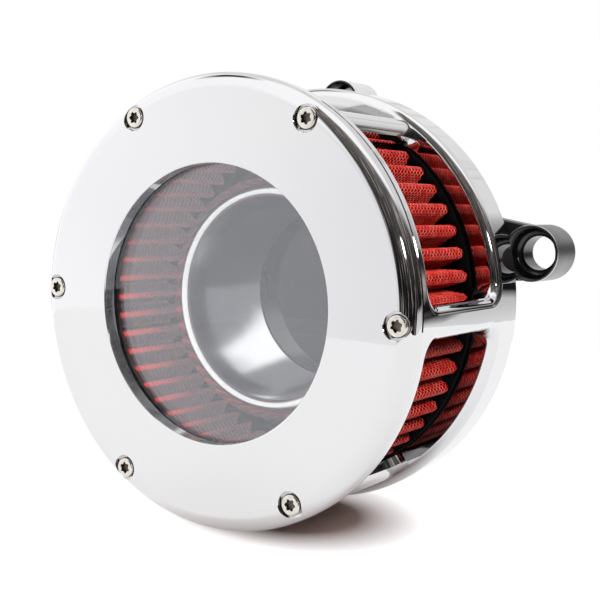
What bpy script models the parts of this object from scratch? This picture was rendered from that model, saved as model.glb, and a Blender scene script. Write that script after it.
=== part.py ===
"""A round motorcycle air filter: a chromed cage and cover, a pleated element, a velocity stack and a backplate.

Everything turns about one line, the filter axis, which runs along Y. The design is laid out by depth, the distance
behind the cover's front face, so a smaller depth is nearer the rider's side and a larger one nearer the engine. An
empty on the filter axis carries the whole assembly and puts the centre of its bounding box at the origin.
"""

import math

import bmesh
import bpy
from mathutils import Matrix, Vector

MM = 0.001
TURN = 2.0 * math.pi

# Fineness
ROUND = 36  # facets round a large turned piece
SMALL_ROUND = 12  # facets round a screw, and twice the lobes of its socket
HOLE_ROUND = 12  # facets round a drilled hole
BIT_TWIST = math.radians(7.0)  # keeps a drilled hole's facets off the facets of the piece round it
SEAL_ROUND = 24  # facets round an O-ring
ARC_STEPS = 3  # facets along a rounded edge
SHARP = math.radians(35.0)

# Fits
GAP = 0.3 * MM  # left between neighbouring pieces
BREAK = 0.4 * MM  # small edge break
OVERSHOOT = 1.0 * MM  # how far a cutter runs past the surface it enters

# Cage and cover, by radius and by depth
OUTER_R = 84.0 * MM
COVER_BACK = 6.5 * MM
CAGE_FRONT = COVER_BACK + GAP
CAGE_BACK = 83.2 * MM
CAGE_BORE_R = 74.5 * MM
FLOOR_FRONT = 66.6 * MM
FLOOR_R = 50.5 * MM
RIM_ROUND = COVER_BACK - BREAK  # radius of the cover's rounded rim

# The six stations that carry the webs and the cover screws
STATIONS = 6
WEB_HALF = math.radians(4.3)
WINDOW_FRONT = 13.2 * MM
WINDOW_BACK = FLOOR_FRONT - GAP
WINDOW_CORNER = 6.0 * MM
WINDOW_INNER_R = CAGE_BORE_R - 4.0 * MM  # how far the windows' cutter reaches, inwards and outwards
WINDOW_OUTER_R = OUTER_R + 5.0 * MM
CUT_BACK_WEBS = (1, 2, 4, 5)  # by station; the webs at the two sides keep the cage's full radius
WEB_TOP_R = 81.4 * MM  # of the middle of a web that is cut back
WEB_ROUND = 7.0 * MM
WEB_SIDE_R = 78.0 * MM
RELIEF_HALF = math.radians(8.6)
RELIEF_STEPS = 8  # facets across each half of a cut-back web
RELIEF_PLAY = 0.1 * MM  # how far the relief's ends stand outside the windows' ends

# Window, lens and what holds the lens
LIP_R = 51.2 * MM
LIP_BACK = 4.2 * MM
POCKET_R = 55.0 * MM
HUB_R = 59.0 * MM
HUB_BACK = 12.4 * MM
LENS_THICK = 4.0 * MM
LENS_GASKET_THICK = 0.7 * MM
SNAP_THICK = 1.2 * MM
SNAP_GROOVE = 1.2 * MM  # how far the snap ring's groove goes past the pocket
SNAP_SWEEP = math.radians(352.5)
SNAP_PLAY = 0.1 * MM  # between the lens and the near side of that groove

# Pleated element
PLEATS = 51
CREST_R = 73.2 * MM
FOLD_R = 61.0 * MM
MEDIA_THICK = 1.2 * MM
CREST_HALF = math.radians(1.15)
FOLD_HALF = math.radians(0.8)
CAP_R = 74.1 * MM
FRONT_CAP_R = 60.3 * MM
REAR_CAP_R = 58.5 * MM
FRONT_CAP_BACK = 12.6 * MM
REAR_CAP_FRONT = 64.0 * MM
REAR_CAP_BACK = FLOOR_FRONT - GAP

# Velocity stack
THROAT_R = 35.3 * MM
MOUTH_R = 39.4 * MM
LIP_CREST_R = 42.4 * MM
LIP_CREST = 37.4 * MM
LIP_ROLL = 3.0 * MM  # depth of the rolled lip
LIP_REACH = 5.0 * MM  # how far the roll turns outwards past its crest
STACK_WALL = 2.0 * MM
STACK_BACK = CAGE_BACK
STACK_FLANGE_R = 50.0 * MM
STACK_FLANGE_THICK = 4.0 * MM
STACK_STEPS = 4

# Backplate
PLATE_FRONT = CAGE_BACK + GAP
PLATE_BACK = 91.5 * MM
PLATE_R = 80.0 * MM
BORE_R = 35.0 * MM
SEAT_R = 47.0 * MM
SEAT_BACK = 97.0 * MM
BOSS_FRONT = 84.0 * MM
BOSS_BACK = 103.0 * MM
ARM_FRONT = 84.5 * MM
ARM_BACK = 92.5 * MM
BOLT_HOLE_R = 6.6 * MM
BOLT_RECESS_WALL = 1.2 * MM
BOLT_RECESS_BACK = 93.0 * MM

# Each boss: radius from the filter axis, angle from +X, its own radius, then the same for the root of its arm
SIDE_BOSS = (90.7 * MM, math.radians(14.2), 10.9 * MM)
SIDE_ROOT = (72.7 * MM, math.radians(18.4), 12.6 * MM)
TOP_BOSS = (79.8 * MM, math.radians(90.7), 9.0 * MM)
TOP_ROOT = (72.0 * MM, math.radians(92.0), 11.0 * MM)
ARM_SHARE = 0.96  # half an arm's width, as a share of its boss's radius, where the two meet

# Seals that lie in grooves of the backplate
SEAL_R = 1.1 * MM
GROOVE_HALF = 1.6 * MM
GROOVE_DEEP = 2.5 * MM
INNER_SEAL_R = 39.8 * MM
OUTER_SEAL_R = 66.0 * MM
SEAL_SIDES = 6  # facets round an O-ring's section

# Screws: head radius, head height, shank radius, shank length
COVER_SCREW = (4.0 * MM, 2.5 * MM, 2.0 * MM, 15.0 * MM)
CAGE_SCREW = (4.2 * MM, 2.8 * MM, 2.4 * MM, 16.0 * MM)
STACK_SCREW = (3.5 * MM, 2.2 * MM, 2.0 * MM, 13.2 * MM)
SOCKET_DEEP = 1.6 * MM
LOBE_R = 0.57  # socket radius at a lobe, as a share of the head's radius
WAIST_R = 0.42  # and between two lobes
CROWN_R = 0.8  # radius of the head's flat top, as a share of the head's radius
BRIM_DEPTH = 0.45  # depth at which the head is full size, as a share of its height
COVER_SCREW_R = 77.6 * MM
CAGE_SCREW_R = 58.5 * MM
STACK_SCREW_R = 44.5 * MM
STACK_SCREWS = 3
STACK_FIRST = math.pi / 2.0  # angle of the first screw of the stack
COVER_HEAD_TOP = 0.2 * MM
COVER_RECESS_R = 4.9 * MM
COVER_RECESS_BACK = COVER_HEAD_TOP + COVER_SCREW[1] + GAP
CAGE_RECESS_R = 4.8 * MM
CAGE_RECESS_BACK = 74.0 * MM


def clear_scene():
    for obj in list(bpy.data.objects):
        bpy.data.objects.remove(obj)


def make_material(name, colour, metallic, roughness, alpha=1.0):
    shade = bpy.data.materials.new(name)
    shade.use_nodes = True
    principled = shade.node_tree.nodes["Principled BSDF"]
    principled.inputs["Base Color"].default_value = (*colour, 1.0)
    principled.inputs["Metallic"].default_value = metallic
    principled.inputs["Roughness"].default_value = roughness
    principled.inputs["Alpha"].default_value = alpha
    return shade


def polar(radius, angle):
    """(x, z) of a point given by its radius from the filter axis and its angle from +X towards +Z."""
    return radius * math.cos(angle), radius * math.sin(angle)


def assembly_shift():
    """Where the filter axis meets the cover's front face, once the bounding box is centred on the origin."""
    side_x, _ = polar(*SIDE_BOSS[:2])
    _, top_z = polar(*TOP_BOSS[:2])
    high_x = side_x + SIDE_BOSS[2]
    high_z = top_z + TOP_BOSS[2]
    return Vector((OUTER_R - high_x, -BOSS_BACK, OUTER_R - high_z)) / 2.0


def make_axis_empty():
    empty = bpy.data.objects.new("filter_axis", None)
    bpy.context.scene.collection.objects.link(empty)
    empty.location = assembly_shift()
    return empty


def add_object(name, mesh, parent, shade=None):
    obj = bpy.data.objects.new(name, mesh)
    bpy.context.scene.collection.objects.link(obj)
    obj.parent = parent
    if shade:
        mesh.materials.clear()
        mesh.materials.append(shade)
    return obj


def add_helper(name, mesh, parent):
    """A cutter, or a shape that is joined to another: it guides a Boolean and isn't a piece."""
    obj = add_object(name, mesh, parent)
    obj.hide_render = True
    obj.display_type = "WIRE"
    return obj


def combine(target, operation, helper):
    boolean = target.modifiers.new(helper.name, "BOOLEAN")
    boolean.operation = operation
    boolean.solver = "EXACT"
    boolean.object = helper


def finish_mesh(bm, name):
    """The bmesh as a mesh with outward normals and smooth sides."""
    bmesh.ops.recalc_face_normals(bm, faces=bm.faces[:])
    mesh = bpy.data.meshes.new(name)
    bm.to_mesh(mesh)
    bm.free()
    mesh.shade_smooth()
    mesh.set_sharp_from_angle(angle=SHARP)
    return mesh


def turned(name, outline, segments=ROUND, sweep=TURN):
    """A ring turned about Y from a closed loop of (radius, depth) points. A part sweep gets flat ends."""
    bm = bmesh.new()
    verts = [bm.verts.new((radius, depth, 0.0)) for radius, depth in outline]
    edges = [bm.edges.new((verts[i - 1], vert)) for i, vert in enumerate(verts)]
    whole = sweep >= TURN
    bmesh.ops.spin(
        bm,
        geom=verts + edges,
        cent=(0.0, 0.0, 0.0),
        axis=(0.0, 1.0, 0.0),
        angle=sweep,
        steps=segments,
        use_merge=whole,
    )
    if not whole:
        rims = [edge for edge in bm.edges if edge.is_boundary]
        bmesh.ops.holes_fill(bm, edges=rims, sides=0)
    return finish_mesh(bm, name)


def lofted(name, loops):
    """A closed skin through loops of equally many points, with a flat face on the first and the last."""
    bm = bmesh.new()
    rings = [[bm.verts.new(point) for point in loop] for loop in loops]
    count = len(loops[0])
    for near, far in zip(rings, rings[1:]):
        for i in range(count):
            j = (i + 1) % count
            bm.faces.new((near[i], near[j], far[j], far[i]))
    bm.faces.new(rings[0])
    bm.faces.new(rings[-1])
    return finish_mesh(bm, name)


def circle(radius, depth, segments):
    points = []
    for angle in station_angles(segments):
        x, z = polar(radius, angle)
        points.append((x, depth, z))
    return points


def post(name, outline, segments):
    """A solid turned about Y from (radius, depth) points, with a flat face on the first and the last."""
    return lofted(name, [circle(radius, depth, segments) for radius, depth in outline])


def repeated(name, source, matrices):
    """One mesh with a copy of the source at each matrix, for a helper with several separate shapes."""
    bm = bmesh.new()
    for matrix in matrices:
        start = len(bm.verts)
        bm.from_mesh(source)
        bm.verts.ensure_lookup_table()
        bmesh.ops.transform(bm, matrix=matrix, verts=bm.verts[start:])
    mesh = bpy.data.meshes.new(name)
    bm.to_mesh(mesh)
    bm.free()
    return mesh


def station_angles(count, first=0.0):
    return [first + TURN * i / count for i in range(count)]


def drill(name, outline, radius, angles):
    """A cutter with one turned bit at each of the angles, all at one radius from the filter axis."""
    bit = post(name + "_bit", outline, HOLE_ROUND)
    places = []
    for angle in angles:
        x, z = polar(radius, angle)
        places.append(Matrix.Translation((x, 0.0, z)) @ Matrix.Rotation(BIT_TWIST, 4, "Y"))
    return repeated(name, bit, places)


def rounded_edge(centre, start_angle, radii):
    """Quarter turn of (radius, depth) points about a centre, from an angle measured from the radial direction."""
    points = []
    for i in range(ARC_STEPS + 1):
        angle = start_angle + math.pi / 2.0 * i / ARC_STEPS
        radius = centre[0] + radii[0] * math.cos(angle)
        depth = centre[1] + radii[1] * math.sin(angle)
        points.append((radius, depth))
    return points


def cover_outline():
    """Half section of the cover: window lip, face, rounded rim, back, then the hub that holds the lens."""
    lens_back = LIP_BACK + GAP + LENS_GASKET_THICK + GAP + LENS_THICK
    groove = (lens_back + SNAP_PLAY, lens_back + 2.0 * GAP + SNAP_THICK)
    rim_centre = (OUTER_R - RIM_ROUND, RIM_ROUND)
    face = [(LIP_R, BREAK), (LIP_R + BREAK, 0.0)]
    rim = rounded_edge(rim_centre, -math.pi / 2.0, (RIM_ROUND, RIM_ROUND))
    back = [(OUTER_R - BREAK, COVER_BACK), (HUB_R, COVER_BACK)]
    hub = [(HUB_R, HUB_BACK), (POCKET_R, HUB_BACK)]
    snap = [(POCKET_R, groove[1]), (POCKET_R + SNAP_GROOVE, groove[1])]
    snap += [(POCKET_R + SNAP_GROOVE, groove[0]), (POCKET_R, groove[0])]
    pocket = [(POCKET_R, LIP_BACK), (LIP_R, LIP_BACK)]
    return face + rim + back + hub + snap + pocket


def build_cover(axis, shades):
    cover = add_object("cover_ring", turned("cover_ring", cover_outline()), axis, shades["chrome"])
    hole_r = COVER_SCREW[2] + GAP
    bit = [(COVER_RECESS_R, -OVERSHOOT), (COVER_RECESS_R, COVER_RECESS_BACK)]
    bit += [(hole_r, COVER_RECESS_BACK), (hole_r, COVER_BACK + OVERSHOOT)]
    holes = drill("cover_holes", bit, COVER_SCREW_R, station_angles(STATIONS))
    combine(cover, "DIFFERENCE", add_helper("cover_holes", holes, axis))


def band(inner_r, outer_r, front, back):
    return [(inner_r, front), (outer_r, front), (outer_r, back), (inner_r, back)]


def build_lens(axis, shades):
    gasket_front = LIP_BACK + GAP
    gasket_back = gasket_front + LENS_GASKET_THICK
    lens_front = gasket_back + GAP
    lens_back = lens_front + LENS_THICK
    rim_r = POCKET_R - BREAK
    gasket = turned("lens_gasket", band(LIP_R + BREAK, rim_r, gasket_front, gasket_back))
    add_object("lens_gasket", gasket, axis, shades["rubber"])
    lens = post("cover_lens", [(rim_r, lens_front), (rim_r, lens_back)], ROUND)
    add_object("cover_lens", lens, axis, shades["lens"])
    snap_front = lens_back + GAP
    outer_r = POCKET_R + SNAP_GROOVE - GAP
    section = band(LIP_R + BREAK, outer_r, snap_front, snap_front + SNAP_THICK)
    snap = turned("lens_retaining_ring", section, ROUND - 1, SNAP_SWEEP)
    add_object("lens_retaining_ring", snap, axis, shades["steel"])


def window_columns():
    """(angle, front depth, back depth) of one window across its width: straight sides, round corners."""
    half = TURN / STATIONS / 2.0 - WEB_HALF
    corner = []
    for i in range(ARC_STEPS + 1):
        turn = math.pi / 2.0 * i / ARC_STEPS
        across = WINDOW_CORNER * (1.0 - math.cos(turn)) / OUTER_R
        inset = WINDOW_CORNER * (1.0 - math.sin(turn))
        corner.append((half - across, WINDOW_FRONT + inset, WINDOW_BACK - inset))
    middle = [(angle, WINDOW_FRONT, WINDOW_BACK) for angle in (-half / 2.0, 0.0, half / 2.0)]
    left = [(-angle, front, back) for angle, front, back in corner]
    return left + middle + corner[::-1]


def window_cutter():
    loops = []
    for angle, front, back in window_columns():
        corners = [(WINDOW_INNER_R, front), (WINDOW_INNER_R, back)]
        corners += [(WINDOW_OUTER_R, back), (WINDOW_OUTER_R, front)]
        loop = []
        for radius, depth in corners:
            x, z = polar(radius, angle)
            loop.append((x, depth, z))
        loops.append(loop)
    one = lofted("window", loops)
    half_pitch = TURN / STATIONS / 2.0
    turns = [Matrix.Rotation(-angle, 4, "Y") for angle in station_angles(STATIONS, half_pitch)]
    return repeated("windows", one, turns)


def relief_cutter():
    """Cuts a web back to a rounded bar between the cage's front band and its rear flange."""
    loops = []
    for i in range(2 * RELIEF_STEPS + 1):
        angle = RELIEF_HALF * (i / RELIEF_STEPS - 1.0)
        across = min(abs(angle) * WEB_TOP_R, WEB_ROUND)
        bar_r = WEB_TOP_R - WEB_ROUND + math.sqrt(WEB_ROUND ** 2 - across ** 2)
        corners = [(max(bar_r, WEB_SIDE_R), WINDOW_FRONT - RELIEF_PLAY)]
        corners.append((corners[0][0], WINDOW_BACK + RELIEF_PLAY))
        corners.append((WINDOW_OUTER_R, WINDOW_BACK + RELIEF_PLAY))
        corners.append((WINDOW_OUTER_R, WINDOW_FRONT - RELIEF_PLAY))
        loop = []
        for radius, depth in corners:
            x, z = polar(radius, angle)
            loop.append((x, depth, z))
        loops.append(loop)
    one = lofted("relief", loops)
    turns = [Matrix.Rotation(-TURN * web / STATIONS, 4, "Y") for web in CUT_BACK_WEBS]
    return repeated("reliefs", one, turns)


def cage_outline():
    """Half section of the cage: a wall with an open front, and the floor that the element stands on."""
    wall = [(CAGE_BORE_R, CAGE_FRONT), (OUTER_R - BREAK, CAGE_FRONT), (OUTER_R, CAGE_FRONT + BREAK)]
    back = [(OUTER_R, CAGE_BACK - BREAK), (OUTER_R - BREAK, CAGE_BACK), (FLOOR_R, CAGE_BACK)]
    floor = [(FLOOR_R, FLOOR_FRONT), (CAGE_BORE_R, FLOOR_FRONT)]
    return wall + back + floor


def build_cage(axis, shades):
    cage = add_object("filter_housing", turned("filter_housing", cage_outline()), axis, shades["chrome"])
    thread_r = COVER_SCREW[2] + GAP
    thread_back = COVER_HEAD_TOP + COVER_SCREW[1] + COVER_SCREW[3] + OVERSHOOT
    bit = [(thread_r, CAGE_FRONT - OVERSHOOT), (thread_r, thread_back)]
    threads = drill("cage_threads", bit, COVER_SCREW_R, station_angles(STATIONS))
    combine(cage, "DIFFERENCE", add_helper("cage_threads", threads, axis))
    hole_r = CAGE_SCREW[2] + GAP
    bit = [(CAGE_RECESS_R, FLOOR_FRONT - OVERSHOOT), (CAGE_RECESS_R, CAGE_RECESS_BACK)]
    bit += [(hole_r, CAGE_RECESS_BACK), (hole_r, CAGE_BACK + OVERSHOOT)]
    holes = drill("cage_holes", bit, CAGE_SCREW_R, station_angles(STATIONS, TURN / STATIONS / 2.0))
    combine(cage, "DIFFERENCE", add_helper("cage_holes", holes, axis))
    combine(cage, "DIFFERENCE", add_helper("cage_reliefs", relief_cutter(), axis))
    combine(cage, "DIFFERENCE", add_helper("cage_windows", window_cutter(), axis))


def pleat_skin(crest_r, fold_r, crest_half, fold_half):
    """(x, z) points of one side of the pleated sheet: a flat crest and a flat fold for each pleat."""
    pitch = TURN / PLEATS
    points = []
    for crest in station_angles(PLEATS, pitch / 2.0):
        points.append(polar(crest_r, crest - crest_half))
        points.append(polar(crest_r, crest + crest_half))
        points.append(polar(fold_r, crest + pitch / 2.0 - fold_half))
        points.append(polar(fold_r, crest + pitch / 2.0 + fold_half))
    return points


def build_element(axis, shades):
    """The pleated sheet between its two moulded end caps."""
    front = FRONT_CAP_BACK + GAP
    back = REAR_CAP_FRONT - GAP
    skew = MEDIA_THICK / 2.0 / FOLD_R
    outside = pleat_skin(CREST_R, FOLD_R + MEDIA_THICK, CREST_HALF + skew, FOLD_HALF - skew)
    inside = pleat_skin(CREST_R - MEDIA_THICK, FOLD_R, CREST_HALF - skew, FOLD_HALF + skew)
    bm = bmesh.new()
    count = len(outside)
    rings = []
    for skin in (outside, inside):
        for depth in (front, back):
            rings.append([bm.verts.new((x, depth, z)) for x, z in skin])
    out_front, out_back, in_front, in_back = rings
    for i in range(count):
        j = (i + 1) % count
        bm.faces.new((out_front[i], out_front[j], out_back[j], out_back[i]))
        bm.faces.new((in_front[i], in_back[i], in_back[j], in_front[j]))
        bm.faces.new((out_front[i], in_front[i], in_front[j], out_front[j]))
        bm.faces.new((out_back[i], out_back[j], in_back[j], in_back[i]))
    add_object("filter_media", finish_mesh(bm, "filter_media"), axis, shades["gauze"])
    front_cap = band(FRONT_CAP_R, CAP_R, CAGE_FRONT, FRONT_CAP_BACK)
    rear_cap = band(REAR_CAP_R, CAP_R, REAR_CAP_FRONT, REAR_CAP_BACK)
    add_object("filter_front_cap", turned("filter_front_cap", front_cap), axis, shades["rubber"])
    add_object("filter_rear_cap", turned("filter_rear_cap", rear_cap), axis, shades["rubber"])


def stack_inner_r(depth):
    """The stack's inner radius: straight at the throat and flaring towards the mouth."""
    flare = (STACK_BACK - depth) / (STACK_BACK - LIP_CREST - LIP_ROLL)
    return THROAT_R + (MOUTH_R - THROAT_R) * flare**2


def stack_outline():
    """Half section of the stack: flared bore, rolled lip, outer wall and flange."""
    mouth = LIP_CREST + LIP_ROLL
    centre = (LIP_CREST_R, mouth)
    bore = []
    for i in range(STACK_STEPS):
        depth = STACK_BACK + (mouth - STACK_BACK) * i / STACK_STEPS
        bore.append((stack_inner_r(depth), depth))
    inner_roll = rounded_edge(centre, math.pi, (LIP_CREST_R - MOUTH_R, LIP_ROLL))
    outer_roll = rounded_edge(centre, -math.pi / 2.0, (LIP_REACH, LIP_ROLL))
    flange_front = STACK_BACK - STACK_FLANGE_THICK
    under_lip = mouth + STACK_WALL
    wall = []
    for depth in (under_lip, (under_lip + flange_front) / 2.0, flange_front):
        wall.append((stack_inner_r(depth) + STACK_WALL, depth))
    flange = [(STACK_FLANGE_R, flange_front), (STACK_FLANGE_R, STACK_BACK)]
    return bore + inner_roll + outer_roll[1:] + wall + flange


def build_stack(axis, shades):
    stack = add_object("velocity_stack", turned("velocity_stack", stack_outline()), axis, shades["aluminium"])
    hole_r = STACK_SCREW[2] + GAP
    bit = [(hole_r, STACK_BACK - STACK_FLANGE_THICK - OVERSHOOT), (hole_r, STACK_BACK + OVERSHOOT)]
    holes = drill("stack_holes", bit, STACK_SCREW_R, station_angles(STACK_SCREWS, STACK_FIRST))
    combine(stack, "DIFFERENCE", add_helper("stack_holes", holes, axis))


def groove(radius, face, floor):
    """A square groove for an O-ring in a flat face, from its inner edge to its outer one."""
    inner = radius - GROOVE_HALF
    outer = radius + GROOVE_HALF
    return [(inner, face), (inner, floor), (outer, floor), (outer, face)]


def backplate_outline():
    """Half section of the plate with its spigot, and the grooves for three O-rings."""
    front = [(BORE_R, PLATE_FRONT)]
    front += groove(INNER_SEAL_R, PLATE_FRONT, PLATE_FRONT + GROOVE_DEEP)
    front += groove(OUTER_SEAL_R, PLATE_FRONT, PLATE_FRONT + GROOVE_DEEP)
    rim = [(PLATE_R, PLATE_FRONT), (PLATE_R, PLATE_BACK), (SEAT_R, PLATE_BACK), (SEAT_R, SEAT_BACK)]
    seat = groove(INNER_SEAL_R, SEAT_BACK, SEAT_BACK - GROOVE_DEEP)[::-1]
    return front + rim + seat + [(BORE_R, SEAT_BACK)]


def arm_mesh(name, boss, root):
    """A flat bar from a boss to its root inside the plate. It is a little narrower than the boss where they meet."""
    boss_point = Vector(polar(*boss[:2]))
    root_point = Vector(polar(*root[:2]))
    along = (boss_point - root_point).normalized()
    across = Vector((-along.y, along.x))
    boss_half = across * (boss[2] * ARM_SHARE)
    root_half = across * root[2]
    corners = [boss_point + boss_half, root_point + root_half, root_point - root_half, boss_point - boss_half]
    return lofted(name, [[(c.x, depth, c.y) for c in corners] for depth in (ARM_FRONT, ARM_BACK)])


def boss_mesh(name, boss):
    x, z = polar(*boss[:2])
    mesh = post(name, [(boss[2], BOSS_FRONT), (boss[2], BOSS_BACK)], 2 * HOLE_ROUND)
    mesh.transform(Matrix.Translation((x, 0.0, z)))
    return mesh


def build_backplate(axis, shades):
    plate = add_object("backplate", turned("backplate", backplate_outline()), axis, shades["black"])
    for name, boss, root in (("side", SIDE_BOSS, SIDE_ROOT), ("top", TOP_BOSS, TOP_ROOT)):
        combine(plate, "UNION", add_helper(name + "_arm", arm_mesh(name + "_arm", boss, root), axis))
        combine(plate, "UNION", add_helper(name + "_boss", boss_mesh(name + "_boss", boss), axis))
    front = PLATE_FRONT - OVERSHOOT
    back = BOSS_BACK + OVERSHOOT
    for name, boss in (("side_bolt", SIDE_BOSS), ("top_bolt", TOP_BOSS)):
        recess_r = boss[2] - BOLT_RECESS_WALL
        bit = [(recess_r, front), (recess_r, BOLT_RECESS_BACK)]
        bit += [(BOLT_HOLE_R, BOLT_RECESS_BACK), (BOLT_HOLE_R, back)]
        hole = drill(name, bit, boss[0], [boss[1]])
        combine(plate, "DIFFERENCE", add_helper(name + "_hole", hole, axis))
    for name, screw, radius, angles, head_top in plate_screws():
        thread_r = screw[2] + GAP
        thread_back = head_top + screw[1] + screw[3] + OVERSHOOT
        hole = drill(name + "_threads", [(thread_r, front), (thread_r, thread_back)], radius, angles)
        combine(plate, "DIFFERENCE", add_helper(name + "_threads", hole, axis))


def plate_screws():
    """The two sets of screws that thread into the backplate: name, size, radius, angles, depth of the head's top."""
    cage_top = CAGE_RECESS_BACK - GAP - CAGE_SCREW[1]
    stack_top = STACK_BACK - STACK_FLANGE_THICK - GAP - STACK_SCREW[1]
    cage_angles = station_angles(STATIONS, TURN / STATIONS / 2.0)
    stack_angles = station_angles(STACK_SCREWS, STACK_FIRST)
    return (
        ("housing_screw", CAGE_SCREW, CAGE_SCREW_R, cage_angles, cage_top),
        ("stack_screw", STACK_SCREW, STACK_SCREW_R, stack_angles, stack_top),
    )


def screw_mesh(name, screw):
    """A button-head screw with a six-lobed socket. Its origin is on its axis, at the top of its head."""
    head_r, head_high, shank_r, shank_long = screw

    def ring(radii, depth):
        points = []
        for i in range(SMALL_ROUND):
            x, z = polar(radii[i % 2], TURN * i / SMALL_ROUND)
            points.append((x, depth, z))
        return points

    socket = (head_r * LOBE_R, head_r * WAIST_R)
    crown_r = head_r * CROWN_R
    tip = head_high + shank_long
    loops = [
        ring(socket, SOCKET_DEEP),
        ring(socket, 0.0),
        ring((crown_r, crown_r), 0.0),
        ring((head_r, head_r), head_high * BRIM_DEPTH),
        ring((head_r, head_r), head_high),
        ring((shank_r, shank_r), head_high),
        ring((shank_r, shank_r), tip),
    ]
    return lofted(name, loops)


def build_screws(axis, shades):
    cover = ("cover_screw", COVER_SCREW, COVER_SCREW_R, station_angles(STATIONS), COVER_HEAD_TOP)
    for name, screw, radius, angles, head_top in (cover, *plate_screws()):
        mesh = screw_mesh(name, screw)
        for number, angle in enumerate(angles, start=1):
            x, z = polar(radius, angle)
            placed = add_object(f"{name}_{number}", mesh, axis, shades["steel"])
            placed.location = (x, head_top, z)


def build_seals(axis, shades):
    """Three O-rings, each lying in its groove of the backplate."""
    sink = SEAL_R + GAP / 2.0
    places = (
        ("stack_o_ring", INNER_SEAL_R, PLATE_FRONT + sink),
        ("housing_o_ring", OUTER_SEAL_R, PLATE_FRONT + sink),
        ("throttle_o_ring", INNER_SEAL_R, SEAT_BACK - sink),
    )
    for name, radius, depth in places:
        section = []
        for angle in station_angles(SEAL_SIDES):
            section.append((radius + SEAL_R * math.cos(angle), depth + SEAL_R * math.sin(angle)))
        add_object(name, turned(name, section, SEAL_ROUND), axis, shades["rubber"])


def main():
    clear_scene()
    shades = {
        "chrome": make_material("mirror_chrome", (0.92, 0.92, 0.93), 1.0, 0.04),
        "lens": make_material("clear_lens", (0.85, 0.88, 0.9), 0.0, 0.03, 0.3),
        "rubber": make_material("black_rubber", (0.02, 0.02, 0.02), 0.0, 0.6),
        "steel": make_material("stainless_steel", (0.72, 0.7, 0.66), 1.0, 0.25),
        "gauze": make_material("oiled_red_gauze", (0.62, 0.05, 0.035), 0.0, 0.7),
        "aluminium": make_material("polished_aluminium", (0.8, 0.81, 0.83), 1.0, 0.12),
        "black": make_material("black_anodising", (0.015, 0.015, 0.017), 0.6, 0.3),
    }
    axis = make_axis_empty()
    build_cover(axis, shades)
    build_lens(axis, shades)
    build_cage(axis, shades)
    build_element(axis, shades)
    build_stack(axis, shades)
    build_backplate(axis, shades)
    build_seals(axis, shades)
    build_screws(axis, shades)


main()
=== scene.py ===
"""The looks of a round chrome air filter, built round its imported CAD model.

Every piece is remade with a fine surface in the place of its CAD node. Points are laid out as (x, depth, z)
round the filter axis, where depth is the distance behind the cover's front face, along +Y.
"""

import math

import bmesh
import bpy
from mathutils import Matrix, Vector


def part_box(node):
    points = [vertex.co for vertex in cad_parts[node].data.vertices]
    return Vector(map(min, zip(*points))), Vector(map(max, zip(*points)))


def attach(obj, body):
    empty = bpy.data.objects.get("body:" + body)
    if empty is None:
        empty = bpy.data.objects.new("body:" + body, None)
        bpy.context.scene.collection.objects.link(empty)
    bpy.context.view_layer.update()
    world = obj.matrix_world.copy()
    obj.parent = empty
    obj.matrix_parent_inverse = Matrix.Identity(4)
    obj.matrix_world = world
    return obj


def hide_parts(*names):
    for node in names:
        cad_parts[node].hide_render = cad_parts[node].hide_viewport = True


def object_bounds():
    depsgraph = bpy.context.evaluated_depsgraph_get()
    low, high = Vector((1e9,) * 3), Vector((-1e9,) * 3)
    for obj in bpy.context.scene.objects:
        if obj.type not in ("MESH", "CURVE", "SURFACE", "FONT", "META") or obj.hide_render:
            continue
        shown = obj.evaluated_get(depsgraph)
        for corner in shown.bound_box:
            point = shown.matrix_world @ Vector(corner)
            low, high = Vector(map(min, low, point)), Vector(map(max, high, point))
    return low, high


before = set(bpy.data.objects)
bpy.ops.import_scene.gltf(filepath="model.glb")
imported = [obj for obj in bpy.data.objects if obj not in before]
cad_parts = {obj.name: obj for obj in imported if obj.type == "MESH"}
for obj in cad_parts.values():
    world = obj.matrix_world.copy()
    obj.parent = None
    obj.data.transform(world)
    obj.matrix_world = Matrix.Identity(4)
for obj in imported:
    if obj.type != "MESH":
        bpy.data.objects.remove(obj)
cad_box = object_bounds()

MM = 0.001
TURN = 2.0 * math.pi
QUARTER = math.pi / 2.0

# Fineness
ROUND = 288  # columns round a large turned piece
SMALL_ROUND = 48  # columns round a screw, a boss or a drilled hole
BIT_TWIST = math.radians(2.0)  # keeps a drilled hole's facets off the facets of the piece round it
ARC_STEPS = 10  # steps along a rounded edge
FINE_ARC = 3  # steps along a small edge break
SHARP = math.radians(32.0)
WELD = 1.0e-7  # points closer than this are one point

# Places and sizes read from the CAD model
COVER_LOW, COVER_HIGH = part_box("cover_ring")
AXIS = Vector(((COVER_LOW.x + COVER_HIGH.x) / 2.0, COVER_LOW.y, (COVER_LOW.z + COVER_HIGH.z) / 2.0))


def span(node):
    """(outer radius, front depth, back depth) of a round CAD node that is centred on the filter axis."""
    low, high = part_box(node)
    return (high.x - low.x) / 2.0, low.y - AXIS.y, high.y - AXIS.y


OUTER_R, _, HUB_BACK = span("cover_ring")
LENS_R, LENS_FRONT, LENS_BACK = span("cover_lens")
GASKET_R, GASKET_FRONT, GASKET_BACK = span("lens_gasket")
SNAP_R, SNAP_FRONT, SNAP_BACK = span("lens_retaining_ring")
_, CAGE_FRONT, CAGE_BACK = span("filter_housing")
CREST_R, MEDIA_FRONT, MEDIA_BACK = span("filter_media")
CAP_R, FRONT_CAP_FRONT, FRONT_CAP_BACK = span("filter_front_cap")
_, REAR_CAP_FRONT, REAR_CAP_BACK = span("filter_rear_cap")
FLANGE_R, LIP_CREST, STACK_BACK = span("velocity_stack")
_, PLATE_FRONT, BOSS_BACK = span("backplate")

# Edges and fits
GAP = 0.3 * MM
BREAK = 0.4 * MM
OVERSHOOT = 1.0 * MM

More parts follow.
